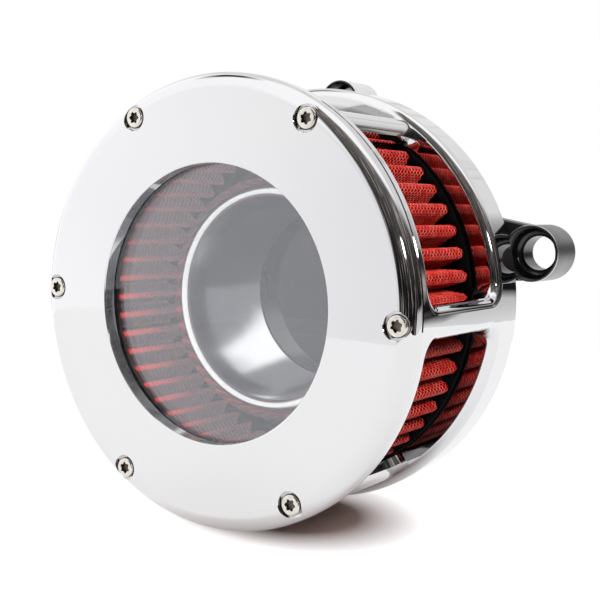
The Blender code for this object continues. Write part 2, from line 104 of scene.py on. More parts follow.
# Cover
COVER_BACK = CAGE_FRONT - GAP
RIM_ROUND = COVER_BACK - BREAK
LIP_R = 51.2 * MM
LIP_BACK = GASKET_FRONT - GAP
BEAD_BACK = LENS_FRONT - 0.35 * MM  # the lip's inner bead reaches this close to the lens
BEAD_WIDE = 1.0 * MM
POCKET_R = 55.0 * MM
HUB_R = 59.0 * MM
SNAP_GROOVE = 1.2 * MM
SNAP_SWEEP = math.radians(352.5)
PLIER_HOLE_R = 0.7 * MM
PLIER_HOLE_AT = math.radians(3.0)  # from each end of the snap ring

# Cage
STATIONS = 6
SECTOR_HALF = TURN / STATIONS / 2.0
CAGE_BORE_R = 74.5 * MM
FLOOR_FRONT = 66.6 * MM
FLOOR_R = 50.5 * MM
WEB_HALF = math.radians(4.3)
WINDOW_FRONT = 13.2 * MM
WINDOW_CORNER = 6.0 * MM
WINDOW_ROUND = 3.75 * MM  # radius of the window's outer edge
WINDOW_STEPS = 44  # along the window's front and back edges
SIDE_STEPS = 8  # along its two ends, by the webs
CUT_BACK_WEBS = (1, 2, 4, 5)  # by station; the webs at the two sides keep the cage's full radius
WEB_TOP_R = 81.4 * MM  # of the middle of a web that is cut back
WEB_ROUND = 7.0 * MM
WEB_SIDE_R = 78.0 * MM
RELIEF_HALF = math.radians(8.5)
RELIEF_STEPS = 24  # across each half of a web that is cut back
RELIEF_PLAY = 0.03 * MM  # how far the relief's ends stand outside the windows' rounding

# A window is a flat rectangle grown all round by its corner radius. The rectangle:
CORE_HALF = (SECTOR_HALF - WEB_HALF) * OUTER_R - WINDOW_CORNER
CORE_MIDDLE = (WINDOW_FRONT + FLOOR_FRONT) / 2.0
CORE_TALL = (FLOOR_FRONT - WINDOW_FRONT) / 2.0 - WINDOW_CORNER

# Pleated element
PLEATS = 51
MEDIA_THICK = 1.2 * MM
CREST_ROUND = 1.45 * MM  # radius of the sheet's middle line over a crest
FOLD_ROUND = 0.95 * MM  # and in a fold
FOLD_R = 61.0 * MM
WEAVE = 9000.0  # of the gauze, in radians per metre
WIRE_R = 0.16 * MM
WIRE_PITCH = 1.25 * MM
WIRE_SWAY = 0.43  # of a zigzag wire, as a share of the pitch
HALF_WAVES = 22  # of a wire's zigzag, per pleat
FRONT_CAP_R = 60.3 * MM
REAR_CAP_R = 58.5 * MM
POTTING = 0.8 * MM  # how far an end cap reaches over the ends of the pleats
CAP_EDGE = 1.0 * MM
CAP_COLUMNS = 12  # per pleat

# Velocity stack
THROAT_R = 35.3 * MM
MOUTH_R = 39.4 * MM
LIP_CREST_R = 42.4 * MM
LIP_ROLL = 3.0 * MM
LIP_REACH = 5.0 * MM
STACK_WALL = 2.0 * MM
FLANGE_THICK = 4.0 * MM

# Backplate
PLATE_BACK = 91.5 * MM
PLATE_R = 80.0 * MM
BORE_R = 35.0 * MM
SEAT_R = 47.0 * MM
SEAT_BACK = 97.0 * MM
BOSS_FRONT = 84.0 * MM
ARM_FRONT = 84.5 * MM
ARM_BACK = 92.5 * MM
BOLT_HOLE_R = 6.6 * MM
BOLT_RECESS_WALL = 1.2 * MM
BOLT_RECESS_BACK = 93.0 * MM
SIDE_BOSS = (90.7 * MM, math.radians(14.2), 10.9 * MM)
SIDE_ROOT = (72.7 * MM, math.radians(18.4), 12.6 * MM)
TOP_BOSS = (79.8 * MM, math.radians(90.7), 9.0 * MM)
TOP_ROOT = (72.0 * MM, math.radians(92.0), 11.0 * MM)
ARM_SHARE = 0.96  # half an arm's width, as a share of its boss's radius, where the two meet
BOSS_EDGE = 0.7 * MM
HOLE_EDGE = 0.5 * MM
DISH_SHARE = 0.9  # radius at the foot of a bolt recess, as a share of its floor's width

# O-rings and their grooves
SEAL_R = 1.1 * MM
GROOVE_HALF = 1.6 * MM
GROOVE_DEEP = 2.5 * MM
INNER_SEAL_R = 39.8 * MM
OUTER_SEAL_R = 66.0 * MM

# Screws: head radius, head height, shank radius, shank length
COVER_SCREW = (4.0 * MM, 2.5 * MM, 2.0 * MM, 15.0 * MM)
CAGE_SCREW = (4.2 * MM, 2.8 * MM, 2.4 * MM, 16.0 * MM)
STACK_SCREW = (3.5 * MM, 2.2 * MM, 2.0 * MM, 13.2 * MM)
COVER_SCREW_R = 77.6 * MM
CAGE_SCREW_R = 58.5 * MM
STACK_SCREW_R = 44.5 * MM
STACK_SCREWS = 3
SOCKET_DEEP = 1.6 * MM
SOCKET_R = 0.56  # as a share of the head's radius
SOCKET_WAIST = 0.27  # how far the socket closes in between its lobes, as a share of its radius
CROWN_R = 0.8  # radius of the head's flat top, as a share of its full radius
THREAD_PITCH = 0.8 * MM
THREAD_DEEP = 0.35 * MM
THREAD_ROWS = 6  # per turn of the thread
NECK_LONG = 1.0 * MM  # plain shank under the head
TIP_EDGE = 0.3 * MM
SCREW_TWIST = 0.7  # radians from one screw's socket to the next one's
COVER_HEAD_TOP = 0.2 * MM
COVER_RECESS_R = 4.9 * MM
COVER_RECESS_BACK = COVER_HEAD_TOP + COVER_SCREW[1] + GAP
CAGE_RECESS_R = 4.8 * MM
CAGE_RECESS_BACK = 74.0 * MM

# The light for the pleats
FILL_AZIMUTH = math.radians(72.0)
FILL_ELEVATION = math.radians(32.0)
FILL_FAR = 0.55
FILL_WIDE = 0.16
FILL_POWER = 3.7

# Floor: half its side, and the painted contact shadow's middle, from the point under the filter's axis at
# half depth
FLOOR_HALF = 0.55
SHADOW_AT = (15.0 * MM, -10.0 * MM, 0.0)
SHOWN_SHADOW = (24.0 * MM, 50.0 * MM)  # distances from that middle between which the shadow fades out
MIRRORED_SHADOW = (15.0 * MM, 65.0 * MM)
FLOOR_CARD_EDGE = 30.0 * MM  # width of the edge of the floor's dark rear half

# Patches of the sky: azimuth from -Y towards +X, half width, height, half height, soft edge, in degrees
DIM_SIDE = (78.0, 90.0, 0.0, 90.0, 3.0)
REAR_CLOUDS = ((180.0, 62.0, 30.0, 34.0, 6.0), (-172.0, 30.0, 8.0, 12.0, 6.0))
LEFT_CARD = (-95.0, 14.0, 56.0, 8.0, 4.0)
REAR_LEFT_CARD = (-143.0, 26.0, -12.0, 14.0, 2.0)
LAMP = (58.0, 4.0, 21.5, 2.5, 1.5)
LENS_DARK = (-143.0, 28.0, -8.0, 22.0, 4.0)
LENS_REAR = (166.0, 20.0, 31.0, 19.0, 4.0)
LENS_RIGHT = (-1.0, 79.0, 0.0, 90.0, 4.0)
DIM_TOP = 95.0  # height of the dim side's upper edge at azimuth 0, in degrees
DIM_SLOPE = -0.5  # of that edge
TABLE_DIP_AT = 151.0  # azimuth at which the pale table's edge dips, in degrees
TABLE_DIP = 4.6  # depth of the dip, in degrees

# Camera, by where it stands from the middle of the cover's face
CAMERA_AZIMUTH = math.radians(33.85)
CAMERA_ELEVATION = math.radians(4.13)
CAMERA_ROLL = math.radians(2.82)  # the filter leans this much to one side as it rests on its rim
CAMERA_FAR = 413.9 * MM
CAMERA_LEFT = 33.2 * MM
CAMERA_LOW = 1.7 * MM
SENSOR = 36.0
FOCAL = 68.42


# ---------------------------------------------------------------- shapes


def polar(radius, angle):
    """(x, z) of a point by its radius from the filter axis and its angle from +X towards +Z."""
    return radius * math.cos(angle), radius * math.sin(angle)


def on_ring(radius, angle, depth):
    x, z = polar(radius, angle)
    return x, depth, z


def angles_round(count, first=0.0):
    return [first + TURN * i / count for i in range(count)]


def ring(radius, depth, columns=SMALL_ROUND, first=0.0):
    return [on_ring(radius, angle, depth) for angle in angles_round(columns, first)]


def arc(centre, radii, start, sweep=QUARTER, steps=ARC_STEPS):
    """(radius, depth) points along an arc, whose angle is measured from the radial direction."""
    points = []
    for i in range(steps + 1):
        angle = start + sweep * i / steps
        points.append((centre[0] + radii[0] * math.cos(angle), centre[1] + radii[1] * math.sin(angle)))
    return points


def corner(radius, depth, edge, start, steps=FINE_ARC):
    """The rounded edge between a wall at that radius and a face at that depth. Its arc begins at start."""
    middle = start + QUARTER / 2.0
    centre = (radius - math.copysign(edge, math.cos(middle)), depth - math.copysign(edge, math.sin(middle)))
    return arc(centre, (edge, edge), start, steps=steps)


def mesh_from(name, verts, faces, recalculate=True, creased=True):
    mesh = bpy.data.meshes.new(name)
    mesh.from_pydata(verts, [], faces)
    if recalculate:
        bm = bmesh.new()
        bm.from_mesh(mesh)
        bmesh.ops.recalc_face_normals(bm, faces=bm.faces[:])
        bm.to_mesh(mesh)
        bm.free()
    mesh.shade_smooth()
    if creased:
        mesh.set_sharp_from_angle(angle=SHARP)
    return mesh


def grid_mesh(name, rows, close_rows=False, caps=False):
    """A skin of quads over closed rows of points. The rows may close on themselves too, or get flat caps."""
    width = len(rows[0])
    verts = [point for row in rows for point in row]
    faces = []
    for r in range(len(rows) if close_rows else len(rows) - 1):
        here = r * width
        there = (r + 1) % len(rows) * width
        for c in range(width):
            d = (c + 1) % width
            faces.append((here + c, here + d, there + d, there + c))
    if caps:
        faces.append(tuple(range(width)))
        faces.append(tuple(range(len(verts) - width, len(verts))))
    return mesh_from(name, verts, faces)


def turned(name, outline, columns=ROUND):
    """A ring turned about Y from a closed loop of (radius, depth) points."""
    return grid_mesh(name, [ring(radius, depth, columns) for radius, depth in outline], close_rows=True)


def post(name, outline, columns=SMALL_ROUND, twist=0.0):
    """A solid turned about Y from (radius, depth) points, with a flat face on the first and the last."""
    return grid_mesh(name, [ring(radius, depth, columns, twist) for radius, depth in outline], caps=True)


def slab(name, corners, front, back, edge):
    """A flat plate between two depths, from its corners as (x, z) vectors, with all its edges broken."""
    middle = sum(corners, Vector((0.0, 0.0))) / len(corners)
    rows = []
    for inset, depth in ((edge, front), (0.0, front + edge), (0.0, back - edge), (edge, back)):
        row = []
        for corner in corners:
            inwards = (middle - corner).normalized() * inset
            row.append((corner.x + inwards.x, depth, corner.y + inwards.y))
        rows.append(row)
    return grid_mesh(name, rows, caps=True)


def copies(name, source, matrices):
    """One mesh with a copy of the source at each matrix."""
    bm = bmesh.new()
    for matrix in matrices:
        start = len(bm.verts)
        bm.from_mesh(source)
        bm.verts.ensure_lookup_table()
        bmesh.ops.transform(bm, matrix=matrix, verts=bm.verts[start:])
    mesh = bpy.data.meshes.new(name)
    bm.to_mesh(mesh)
    bm.free()
    return mesh


def at_angles(name, source, radius, angles):
    """Copies of a mesh round the filter axis."""
    places = []
    for angle in angles:
        x, z = polar(radius, angle)
        places.append(Matrix.Translation((x, 0.0, z)))
    return copies(name, source, places)


def boolean(mesh, operation, other):
    """The mesh joined with the other, or cut by it."""
    target = bpy.data.objects.new("target", mesh)
    helper = bpy.data.objects.new("helper", other)
    for obj in (target, helper):
        bpy.context.scene.collection.objects.link(obj)
    modifier = target.modifiers.new("boolean", "BOOLEAN")
    modifier.operation = operation
    modifier.solver = "EXACT"
    modifier.object = helper
    result = bpy.data.meshes.new_from_object(target.evaluated_get(bpy.context.evaluated_depsgraph_get()))
    for obj in (target, helper):
        bpy.data.objects.remove(obj)
    result.shade_smooth()
    result.set_sharp_from_angle(angle=SHARP)
    return result


def drilled(mesh, hole, radius, angles, columns=SMALL_ROUND, twist=0.0):
    """The mesh with a hole at each angle. A hole is given by its wall, as (radius, depth) points."""
    bit = post("bit", hole, columns, twist)
    return boolean(mesh, "DIFFERENCE", at_angles("bits", bit, radius, angles))


def add_piece(name, mesh, shade, body, node=None, location=AXIS):
    """A visible piece: it rides on a body, takes a material slot, and stands for its CAD node."""
    mesh.name = name
    mesh.materials.clear()
    mesh.materials.append(shade)
    piece = bpy.data.objects.new(name, mesh)
    bpy.context.scene.collection.objects.link(piece)
    piece.location = location
    weighted = piece.modifiers.new("weighted_normals", "WEIGHTED_NORMAL")
    weighted.keep_sharp = True
    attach(piece, body)
    if node:
        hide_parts(node)
    return piece


# ---------------------------------------------------------------- materials


class Shader:
    """A short way to write a material's nodes."""

    def __init__(self, name):
        self.material = bpy.data.materials.new(name)
        self.material.use_nodes = True
        self.tree = self.material.node_tree
        self.principled = self.tree.nodes["Principled BSDF"]
        self.place = self.tree.nodes.new("ShaderNodeTexCoord").outputs["Object"]

    def node(self, kind, inputs=(), **settings):
        made = self.tree.nodes.new("ShaderNode" + kind)
        for key, value in settings.items():
            setattr(made, key, value)
        for key, value in dict(inputs).items():
            self.feed(made.inputs[key], value)
        return made

    def feed(self, socket, value):
        """Links a socket's input to an output, or sets it. A colour gets its alpha of 1 here."""
        if isinstance(value, bpy.types.NodeSocket):
            self.tree.links.new(value, socket)
        elif socket.type == "RGBA":
            socket.default_value = (*value, 1.0)
        else:
            socket.default_value = value

    def noise(self, scale, detail=4.0, stretch=(1.0, 1.0, 1.0)):
        mapped = self.node("Mapping", {"Vector": self.place, "Scale": stretch}).outputs[0]
        return self.node("TexNoise", {"Vector": mapped, "Scale": scale, "Detail": detail}).outputs[0]

    def spread(self, value, low, high, start=0.35, end=0.65):
        """A value spread over low to high as it goes from start to end. The defaults suit a noise."""
        inputs = {0: value, 1: start, 2: end, 3: low, 4: high}
        return self.node("MapRange", inputs, clamp=True).outputs[0]

    def mix(self, factor, colour_a, colour_b):
        made = self.node("Mix", {"Factor": factor}, data_type="RGBA")
        self.feed(made.inputs["A"], colour_a)
        self.feed(made.inputs["B"], colour_b)
        return made.outputs["Result"]

    def between(self, value, colour_a, colour_b, start=0.35, end=0.65):
        """One colour turning into the other as the value goes from start to end."""
        return self.mix(self.spread(value, 0.0, 1.0, start, end), colour_a, colour_b)

    def math(self, operation, a, b=0.0, c=0.0):
        return self.node("Math", {0: a, 1: b, 2: c}, operation=operation).outputs[0]

    def times(self, a, b):
        return self.math("MULTIPLY", a, b)

    def bump(self, height, distance, normal=None):
        inputs = {"Height": height, "Distance": distance}
        if normal is not None:
            inputs["Normal"] = normal
        return self.node("Bump", inputs).outputs[0]

    def depth(self):
        """How far a point of the piece lies behind the piece's origin."""
        return self.node("SeparateXYZ", {0: self.place}).outputs[1]

    def radius(self, x=0.0, z=0.0):
        """How far a point of the piece lies from the line along Y through x and z."""
        flat = self.node("VectorMath", {0: self.place, 1: (1.0, 0.0, 1.0)}, operation="MULTIPLY").outputs[0]
        return self.node("VectorMath", {0: flat, 1: (x, 0.0, z)}, operation="DISTANCE").outputs["Value"]

    def seen(self):
        """1 for the camera's own rays and 0 for reflections, light and what shows through the lens."""
        return self.node("LightPath").outputs["Is Camera Ray"]

    def soft(self):
        """1 for the light that matt surfaces gather and 0 for what is seen or mirrored."""
        return self.node("LightPath").outputs["Is Diffuse Ray"]

    def behind_lens(self):
        """1 for a mirror or straight ray that has come through the lens, and 0 for light and all others."""
        path = self.node("LightPath")
        through = self.math("GREATER_THAN", path.outputs["Transmission Depth"], 0.5)
        return self.times(through, self.math("LESS_THAN", path.outputs["Diffuse Depth"], 0.5))

    def finish(self, **inputs):
        for key, value in inputs.items():
            self.feed(self.principled.inputs[key.replace("_", " ")], value)
        return self.material


def chrome_shader():
    """Mirror chrome over polished billet, faintly smudged, barely wavy, with painted shade darkening the
    cage's inner floor.
    """
    s = Shader("mirror_chrome")
    smudge = s.noise(38.0, 6.0)
    haze = s.noise(9.0, 2.0)
    rough = s.spread(s.times(smudge, haze), 0.018, 0.07, 0.2, 0.42)
    wave = s.bump(s.noise(55.0, 1.0), 4.0e-6)
    polish = s.bump(s.noise(900.0, 2.0, (1.0, 6.0, 1.0)), 1.2e-7, wave)
    tint = s.between(haze, (0.63, 0.63, 0.645), (0.66, 0.655, 0.655))
    # Painted shade: the chrome of the cage's inner floor is darkened, which dims the pleats it mirrors.
    inside = s.spread(s.radius(), 1.0, 0.0, CAGE_BORE_R + 2.0 * MM, CAGE_BORE_R + 3.5 * MM)
    at_floor = s.spread(s.depth(), 0.0, 1.0, FLOOR_FRONT - GAP, FLOOR_FRONT - GAP / 2.0)
    tint = s.mix(s.times(inside, at_floor), tint, (0.40, 0.38, 0.38))
    return s.finish(Base_Color=tint, Metallic=1.0, Roughness=rough, Normal=polish)


def aluminium_shader():
    """Spun and polished aluminium: fine rings round the axis over a soft shine."""
    s = Shader("polished_aluminium")
    rings = s.bump(s.noise(40.0, 3.0, (0.15, 60.0, 0.15)), 2.0e-6)
    cloud = s.noise(30.0, 3.0)
    tint = s.between(cloud, (0.70, 0.71, 0.73), (0.78, 0.785, 0.80))
    return s.finish(Base_Color=tint, Metallic=1.0, Roughness=s.spread(cloud, 0.12, 0.22), Normal=rings)


def lens_shader():
    """Clear hard-coated plastic."""
    s = Shader("clear_lens")
    rough = s.spread(s.noise(60.0, 5.0), 0.0, 0.012)
    s.finish(Base_Color=(0.99, 0.992, 0.995), Roughness=rough, Specular_Tint=(0.92, 0.93, 1.0))
    return s.finish(IOR=1.85, Transmission_Weight=1.0)


def rubber_shader(name, colour, rough_low, rough_high, shine):
    """Moulded rubber or urethane: a fine grain, lighter and duller in patches."""
    s = Shader(name)
    grain = s.bump(s.noise(900.0, 3.0), 1.2e-5)
    cloud = s.noise(70.0, 3.0)
    tint = s.between(cloud, colour, tuple(channel * 1.9 for channel in colour))
    rough = s.spread(cloud, rough_low, rough_high)
    return s.finish(Base_Color=tint, Roughness=rough, Normal=grain, Specular_IOR_Level=shine)


def black_shader():
    """Glossy black anodising over machined aluminium, with faint cutter marks. The bosses' sides are bare, in
    painted light and shade.
    """
    s = Shader("black_anodised")
    marks = s.bump(s.noise(60.0, 4.0, (1.0, 30.0, 1.0)), 1.5e-6)
    cloud = s.noise(45.0, 4.0)
    tint = s.between(cloud, (0.008, 0.008, 0.009), (0.014, 0.014, 0.016))
    behind = s.spread(s.depth(), 0.0, 1.0, BOSS_FRONT + 0.25 * MM, BOSS_FRONT + 0.35 * MM)
    past_edge = s.spread(s.depth(), 0.0, 1.0, BOSS_FRONT + 0.6 * MM, BOSS_FRONT + 0.8 * MM)
    bare = 0.0
    # Painted light and shade: each boss's bare side gets its own grey, light on the top boss and dark on the
    # side boss. The band on the front edge's rounding is a painted edge highlight.
    for (boss_at, angle, boss_r), grey in ((SIDE_BOSS, 0.17), (TOP_BOSS, 0.80)):
        off_wall = s.math("ABSOLUTE", s.math("SUBTRACT", s.radius(*polar(boss_at, angle)), boss_r))
        side = s.times(behind, s.spread(off_wall, 1.0, 0.0, 0.16 * MM, 0.22 * MM))
        metal = s.mix(past_edge, (0.7, 0.7, 0.71), (grey, grey, grey * 1.02))
        tint = s.mix(side, tint, metal)
        bare = s.math("MAXIMUM", bare, side)
    rough = s.math("ADD", s.spread(cloud, 0.16, 0.3), s.times(bare, 0.12))
    return s.finish(Base_Color=tint, Metallic=bare, Roughness=rough, Normal=marks, Specular_IOR_Level=0.6)


def stainless_shader():
    """Warm bright stainless steel, rougher inside the socket, where painted shade darkens it."""
    s = Shader("stainless")
    cloud = s.noise(500.0, 4.0)
    tint = s.between(cloud, (0.56, 0.53, 0.48), (0.70, 0.67, 0.62))
    # Painted shade: the inside of the socket is darkened.
    inside = s.spread(s.radius(), 1.0, 0.0, 0.62 * COVER_SCREW[0], 0.66 * COVER_SCREW[0])
    sunk = s.times(inside, s.spread(s.depth(), 0.0, 1.0, 0.05 * MM, 0.5 * MM))
    tint = s.mix(sunk, tint, (0.15, 0.13, 0.11))
    rough = s.math("ADD", s.spread(cloud, 0.16, 0.3), s.times(sunk, 0.2))
    return s.finish(Base_Color=tint, Metallic=1.0, Roughness=rough, Normal=s.bump(cloud, 2.0e-6))


def spring_shader():
    """Dark phosphated spring steel."""
    s = Shader("spring_steel")
    cloud = s.noise(300.0, 4.0)
    tint = s.between(cloud, (0.10, 0.10, 0.11), (0.2, 0.19, 0.18))
    rough = s.spread(cloud, 0.3, 0.5)
    return s.finish(Base_Color=tint, Metallic=0.9, Roughness=rough, Normal=s.bump(cloud, 3.0e-6))


def gauze_shader():
    """Oiled red cotton gauze: a fine open weave, darker where the oil has pooled and painted bright red in
    the folds.

    Seen through the lens it has a painted glow, and its folds are painted bright: painted light for the light
    that comes through it from outside.
    """
    s = Shader("oiled_red_gauze")
    x, depth, z = s.node("SeparateXYZ", {0: s.place}).outputs
    round_axis = s.times(s.math("ARCTAN2", z, x), WEAVE * CREST_R)
    weave = s.times(s.math("SINE", s.times(depth, WEAVE)), s.math("SINE", round_axis))
    base = s.between(s.noise(160.0, 4.0), (0.10, 0.003, 0.003), (0.04, 0.001, 0.001), 0.3, 0.7)
    tint = s.mix(s.spread(weave, 0.0, 0.55, -1.0, 1.0), base, (0.02, 0.001, 0.001))
    # Painted light: the folds, which are seen from inside through the lens, are painted bright red.
    fold = s.spread(s.radius(), 1.0, 0.0, FOLD_R + 0.1 * MM, FOLD_R + 0.8 * MM)
    tint = s.mix(fold, tint, (1.0, 0.03, 0.03))
    s.finish(Emission_Color=(1.0, 0.62, 0.64), Emission_Strength=s.times(s.behind_lens(), 0.10))
    return s.finish(Base_Color=tint, Roughness=0.55, Normal=s.bump(weave, 5.0e-5), Specular_IOR_Level=0.25)


def wire_shader(name, low, high):
    """The wires of a screen, their colour uneven in patches."""
    s = Shader(name)
    tint = s.between(s.noise(260.0, 4.0), low, high, 0.4, 0.62)
    return s.finish(Base_Color=tint, Roughness=0.34, Specular_IOR_Level=0.35)


# ---------------------------------------------------------------- cover


def cover_mesh():
    groove_front = LENS_BACK + BREAK / 4.0
    groove_back = SNAP_BACK + GAP
    groove_r = POCKET_R + SNAP_GROOVE
    bead_r = LIP_R + BEAD_WIDE
    outline = corner(LIP_R, 0.0, BREAK, math.pi)
    outline += corner(OUTER_R, 0.0, RIM_ROUND, -QUARTER, 2 * ARC_STEPS)
    outline += corner(OUTER_R, COVER_BACK, BREAK, 0.0) + [(HUB_R, COVER_BACK)]
    outline += corner(HUB_R, HUB_BACK, BREAK, 0.0)
    outline += [(POCKET_R + BREAK, HUB_BACK), (POCKET_R, HUB_BACK - BREAK), (POCKET_R, groove_back)]
    outline += [(groove_r, groove_back), (groove_r, groove_front), (POCKET_R, groove_front)]
    outline += [(POCKET_R, LIP_BACK), (bead_r, LIP_BACK), (bead_r, BEAD_BACK), (LIP_R, BEAD_BACK)]
    hole_r = COVER_SCREW[2] + GAP
    edge = BREAK / 2.0
    hole = [(COVER_RECESS_R + OVERSHOOT, -OVERSHOOT), (COVER_RECESS_R + edge, 0.0), (COVER_RECESS_R, edge)]
    hole += [(COVER_RECESS_R, COVER_RECESS_BACK), (hole_r, COVER_RECESS_BACK)]
    hole.append((hole_r, COVER_BACK + OVERSHOOT))
    return drilled(turned("cover_ring", outline), hole, COVER_SCREW_R, angles_round(STATIONS))


def rounded_band(inner_r, outer_r, front, back, edge):
    """A rectangle's section with rounded corners, as a closed loop of (radius, depth) points."""
    outer = corner(outer_r, front, edge, -QUARTER) + corner(outer_r, back, edge, 0.0)
    return outer + corner(inner_r, back, edge, QUARTER) + corner(inner_r, front, edge, math.pi)


def snap_ring_mesh():
    """A flat ring that is open at the bottom, with a small hole near each end for pliers."""
    section = rounded_band(LIP_R + BREAK, SNAP_R, SNAP_FRONT, SNAP_BACK, BREAK / 4.0)
    steps = ROUND - 1
    start = -QUARTER + (TURN - SNAP_SWEEP) / 2.0
    rows = []
    for i in range(steps + 1):
        angle = start + SNAP_SWEEP * i / steps
        rows.append([on_ring(radius, angle, depth) for radius, depth in section])
    ring = grid_mesh("lens_retaining_ring", rows, caps=True)
    hole = [(PLIER_HOLE_R, SNAP_FRONT - OVERSHOOT), (PLIER_HOLE_R, SNAP_BACK + OVERSHOOT)]
    ends = [start + PLIER_HOLE_AT, start + SNAP_SWEEP - PLIER_HOLE_AT]
    return drilled(ring, hole, (LIP_R + SNAP_R) / 2.0, ends, ARC_STEPS)


def build_cover(shades):
    add_piece("chrome_cover", cover_mesh(), shades["chrome"], "cover", "cover_ring")
    lens = [(LENS_R - BREAK, LENS_FRONT), (LENS_R, LENS_FRONT + BREAK), (LENS_R, LENS_BACK - BREAK)]
    lens.append((LENS_R - BREAK, LENS_BACK))
    clear = add_piece("clear_lens", post("lens", lens, ROUND), shades["lens"], "cover", "cover_lens")
    clear.visible_shadow = False
    gasket_r = LIP_R + BEAD_WIDE + GAP / 2.0
    gasket = turned("gasket", rounded_band(gasket_r, GASKET_R, GASKET_FRONT, GASKET_BACK, GAP))
    add_piece("lens_seal", gasket, shades["rubber"], "cover", "lens_gasket")
    add_piece("snap_ring", snap_ring_mesh(), shades["spring"], "cover", "lens_retaining_ring")


# ---------------------------------------------------------------- cage


class Skin:
    """Collects faces whose shared points are welded as they come, and drops the ones that collapse."""

    def __init__(self):
        self.index = {}
        self.verts = []
        self.faces = []

    def point(self, co):
        key = tuple(round(value / WELD) for value in co)
        if key not in self.index:
            self.index[key] = len(self.verts)
            self.verts.append(co)
        return self.index[key]

    def face(self, corners):
        ring = []
        for co in corners:
            i = self.point(co)
            if i not in ring:
                ring.append(i)
        if len(ring) > 2:
            self.faces.append(ring)

    def strip(self, near, far):
        """Quads between two rows of points that don't close on themselves."""
        for i in range(len(near) - 1):
            self.face((near[i], near[i + 1], far[i + 1], far[i]))


def window_loop(offset):
    """(arc length, depth) points round a window, that far outside its wall. It starts at one web's middle."""
    reach = WINDOW_CORNER + offset
    points = []
    turns = ((1.0, 1.0), (-1.0, 1.0), (-1.0, -1.0), (1.0, -1.0))
    corners = [(CORE_HALF * across, CORE_MIDDLE + CORE_TALL * along) for across, along in turns]
    for number, (across, along) in enumerate(corners):
        for angle in (QUARTER * (number + i / ARC_STEPS) for i in range(ARC_STEPS + 1)):
            points.append((across + reach * math.cos(angle), along + reach * math.sin(angle)))
        steps = WINDOW_STEPS if number % 2 == 0 else SIDE_STEPS
        last = points[-1]
        next_across, next_along = corners[(number + 1) % len(corners)]
        target = (next_across + reach * math.cos(angle), next_along + reach * math.sin(angle))
        for i in range(1, steps):
            share = i / steps
            points.append((last[0] + (target[0] - last[0]) * share, last[1] + (target[1] - last[1]) * share))
    return points


def to_border(loop, front, back):
    """Each of the loop's points pushed out to the rectangle of its sector, along its own corner's ray."""
    wide = SECTOR_HALF * OUTER_R
    border = []
    for across, depth in loop:
        core_x = max(-CORE_HALF, min(CORE_HALF, across))
        core_y = max(CORE_MIDDLE - CORE_TALL, min(CORE_MIDDLE + CORE_TALL, depth))
        dx = across - core_x
        dy = depth - core_y
        corner_x = math.copysign(wide, dx)
        corner_y = back if dy > 0.0 else front
        share = abs(dy) / (abs(dx) + abs(dy))
        if abs(dx) < WELD:
            border.append((across, corner_y))
        elif abs(dy) < WELD:
            border.append((corner_x, depth))
        elif share >= 0.5:
            border.append((core_x + (corner_x - core_x) * (1.0 - share) * 2.0, corner_y))
        else:
            border.append((corner_x, core_y + (corner_y - core_y) * share * 2.0))
    return border


def cage_mesh():
    """One sixth of the cage round one window, from loops about the window, repeated round the axis."""
    skin = Skin()
    wall_r = OUTER_R - WINDOW_ROUND
    rounding = []
    for i in range(ARC_STEPS + 1):
        turn = QUARTER * i / ARC_STEPS
        rounding.append((WINDOW_ROUND * (1.0 - math.cos(turn)), wall_r + WINDOW_ROUND * math.sin(turn)))
    rim_r = OUTER_R - BREAK
    front = CAGE_FRONT + BREAK
    back = CAGE_BACK - BREAK
    inner_loop = window_loop(0.0)
    outer_loop = window_loop(WINDOW_ROUND)
    outer_border = to_border(outer_loop, front, back)
    inner_border = to_border(inner_loop, CAGE_FRONT, FLOOR_FRONT)
    for middle in angles_round(STATIONS, SECTOR_HALF):

        def place(pairs, radius):
            return [on_ring(radius, middle + across / OUTER_R, depth) for across, depth in pairs]

        def side_of(border, side, radius, depth):
            """One side of the border, laid at a radius and a depth."""
            picked = sorted(across for across, at in border if abs(at - side) < WELD)
            return [on_ring(radius, middle + across / OUTER_R, depth) for across in picked]

        rows = [place(inner_border, CAGE_BORE_R), place(inner_loop, CAGE_BORE_R)]
        rows += [place(window_loop(offset), radius) for offset, radius in rounding]
        for share in (0.04, 0.35, 0.7, 1.0):
            blend = []
            for (a, b), (c, d) in zip(outer_loop, outer_border):
                blend.append((a + (c - a) * share, b + (d - b) * share))
            rows.append(place(blend, OUTER_R))
        for near, far in zip(rows, rows[1:]):
            skin.strip(near + near[:1], far + far[:1])
        front_rim = side_of(outer_border, front, rim_r, CAGE_FRONT)
        skin.strip(side_of(outer_border, front, OUTER_R, front), front_rim)
        skin.strip(front_rim, side_of(inner_border, CAGE_FRONT, CAGE_BORE_R, CAGE_FRONT))
        back_rim = side_of(outer_border, back, rim_r, CAGE_BACK)
        skin.strip(side_of(outer_border, back, OUTER_R, back), back_rim)
        bore_back = side_of(inner_border, FLOOR_FRONT, FLOOR_R, CAGE_BACK)
        bore_front = side_of(inner_border, FLOOR_FRONT, FLOOR_R, FLOOR_FRONT)
        skin.strip(back_rim, bore_back)
        skin.strip(bore_back, bore_front)
        skin.strip(bore_front, side_of(inner_border, FLOOR_FRONT, CAGE_BORE_R, FLOOR_FRONT))
    return mesh_from("filter_housing", skin.verts, skin.faces)


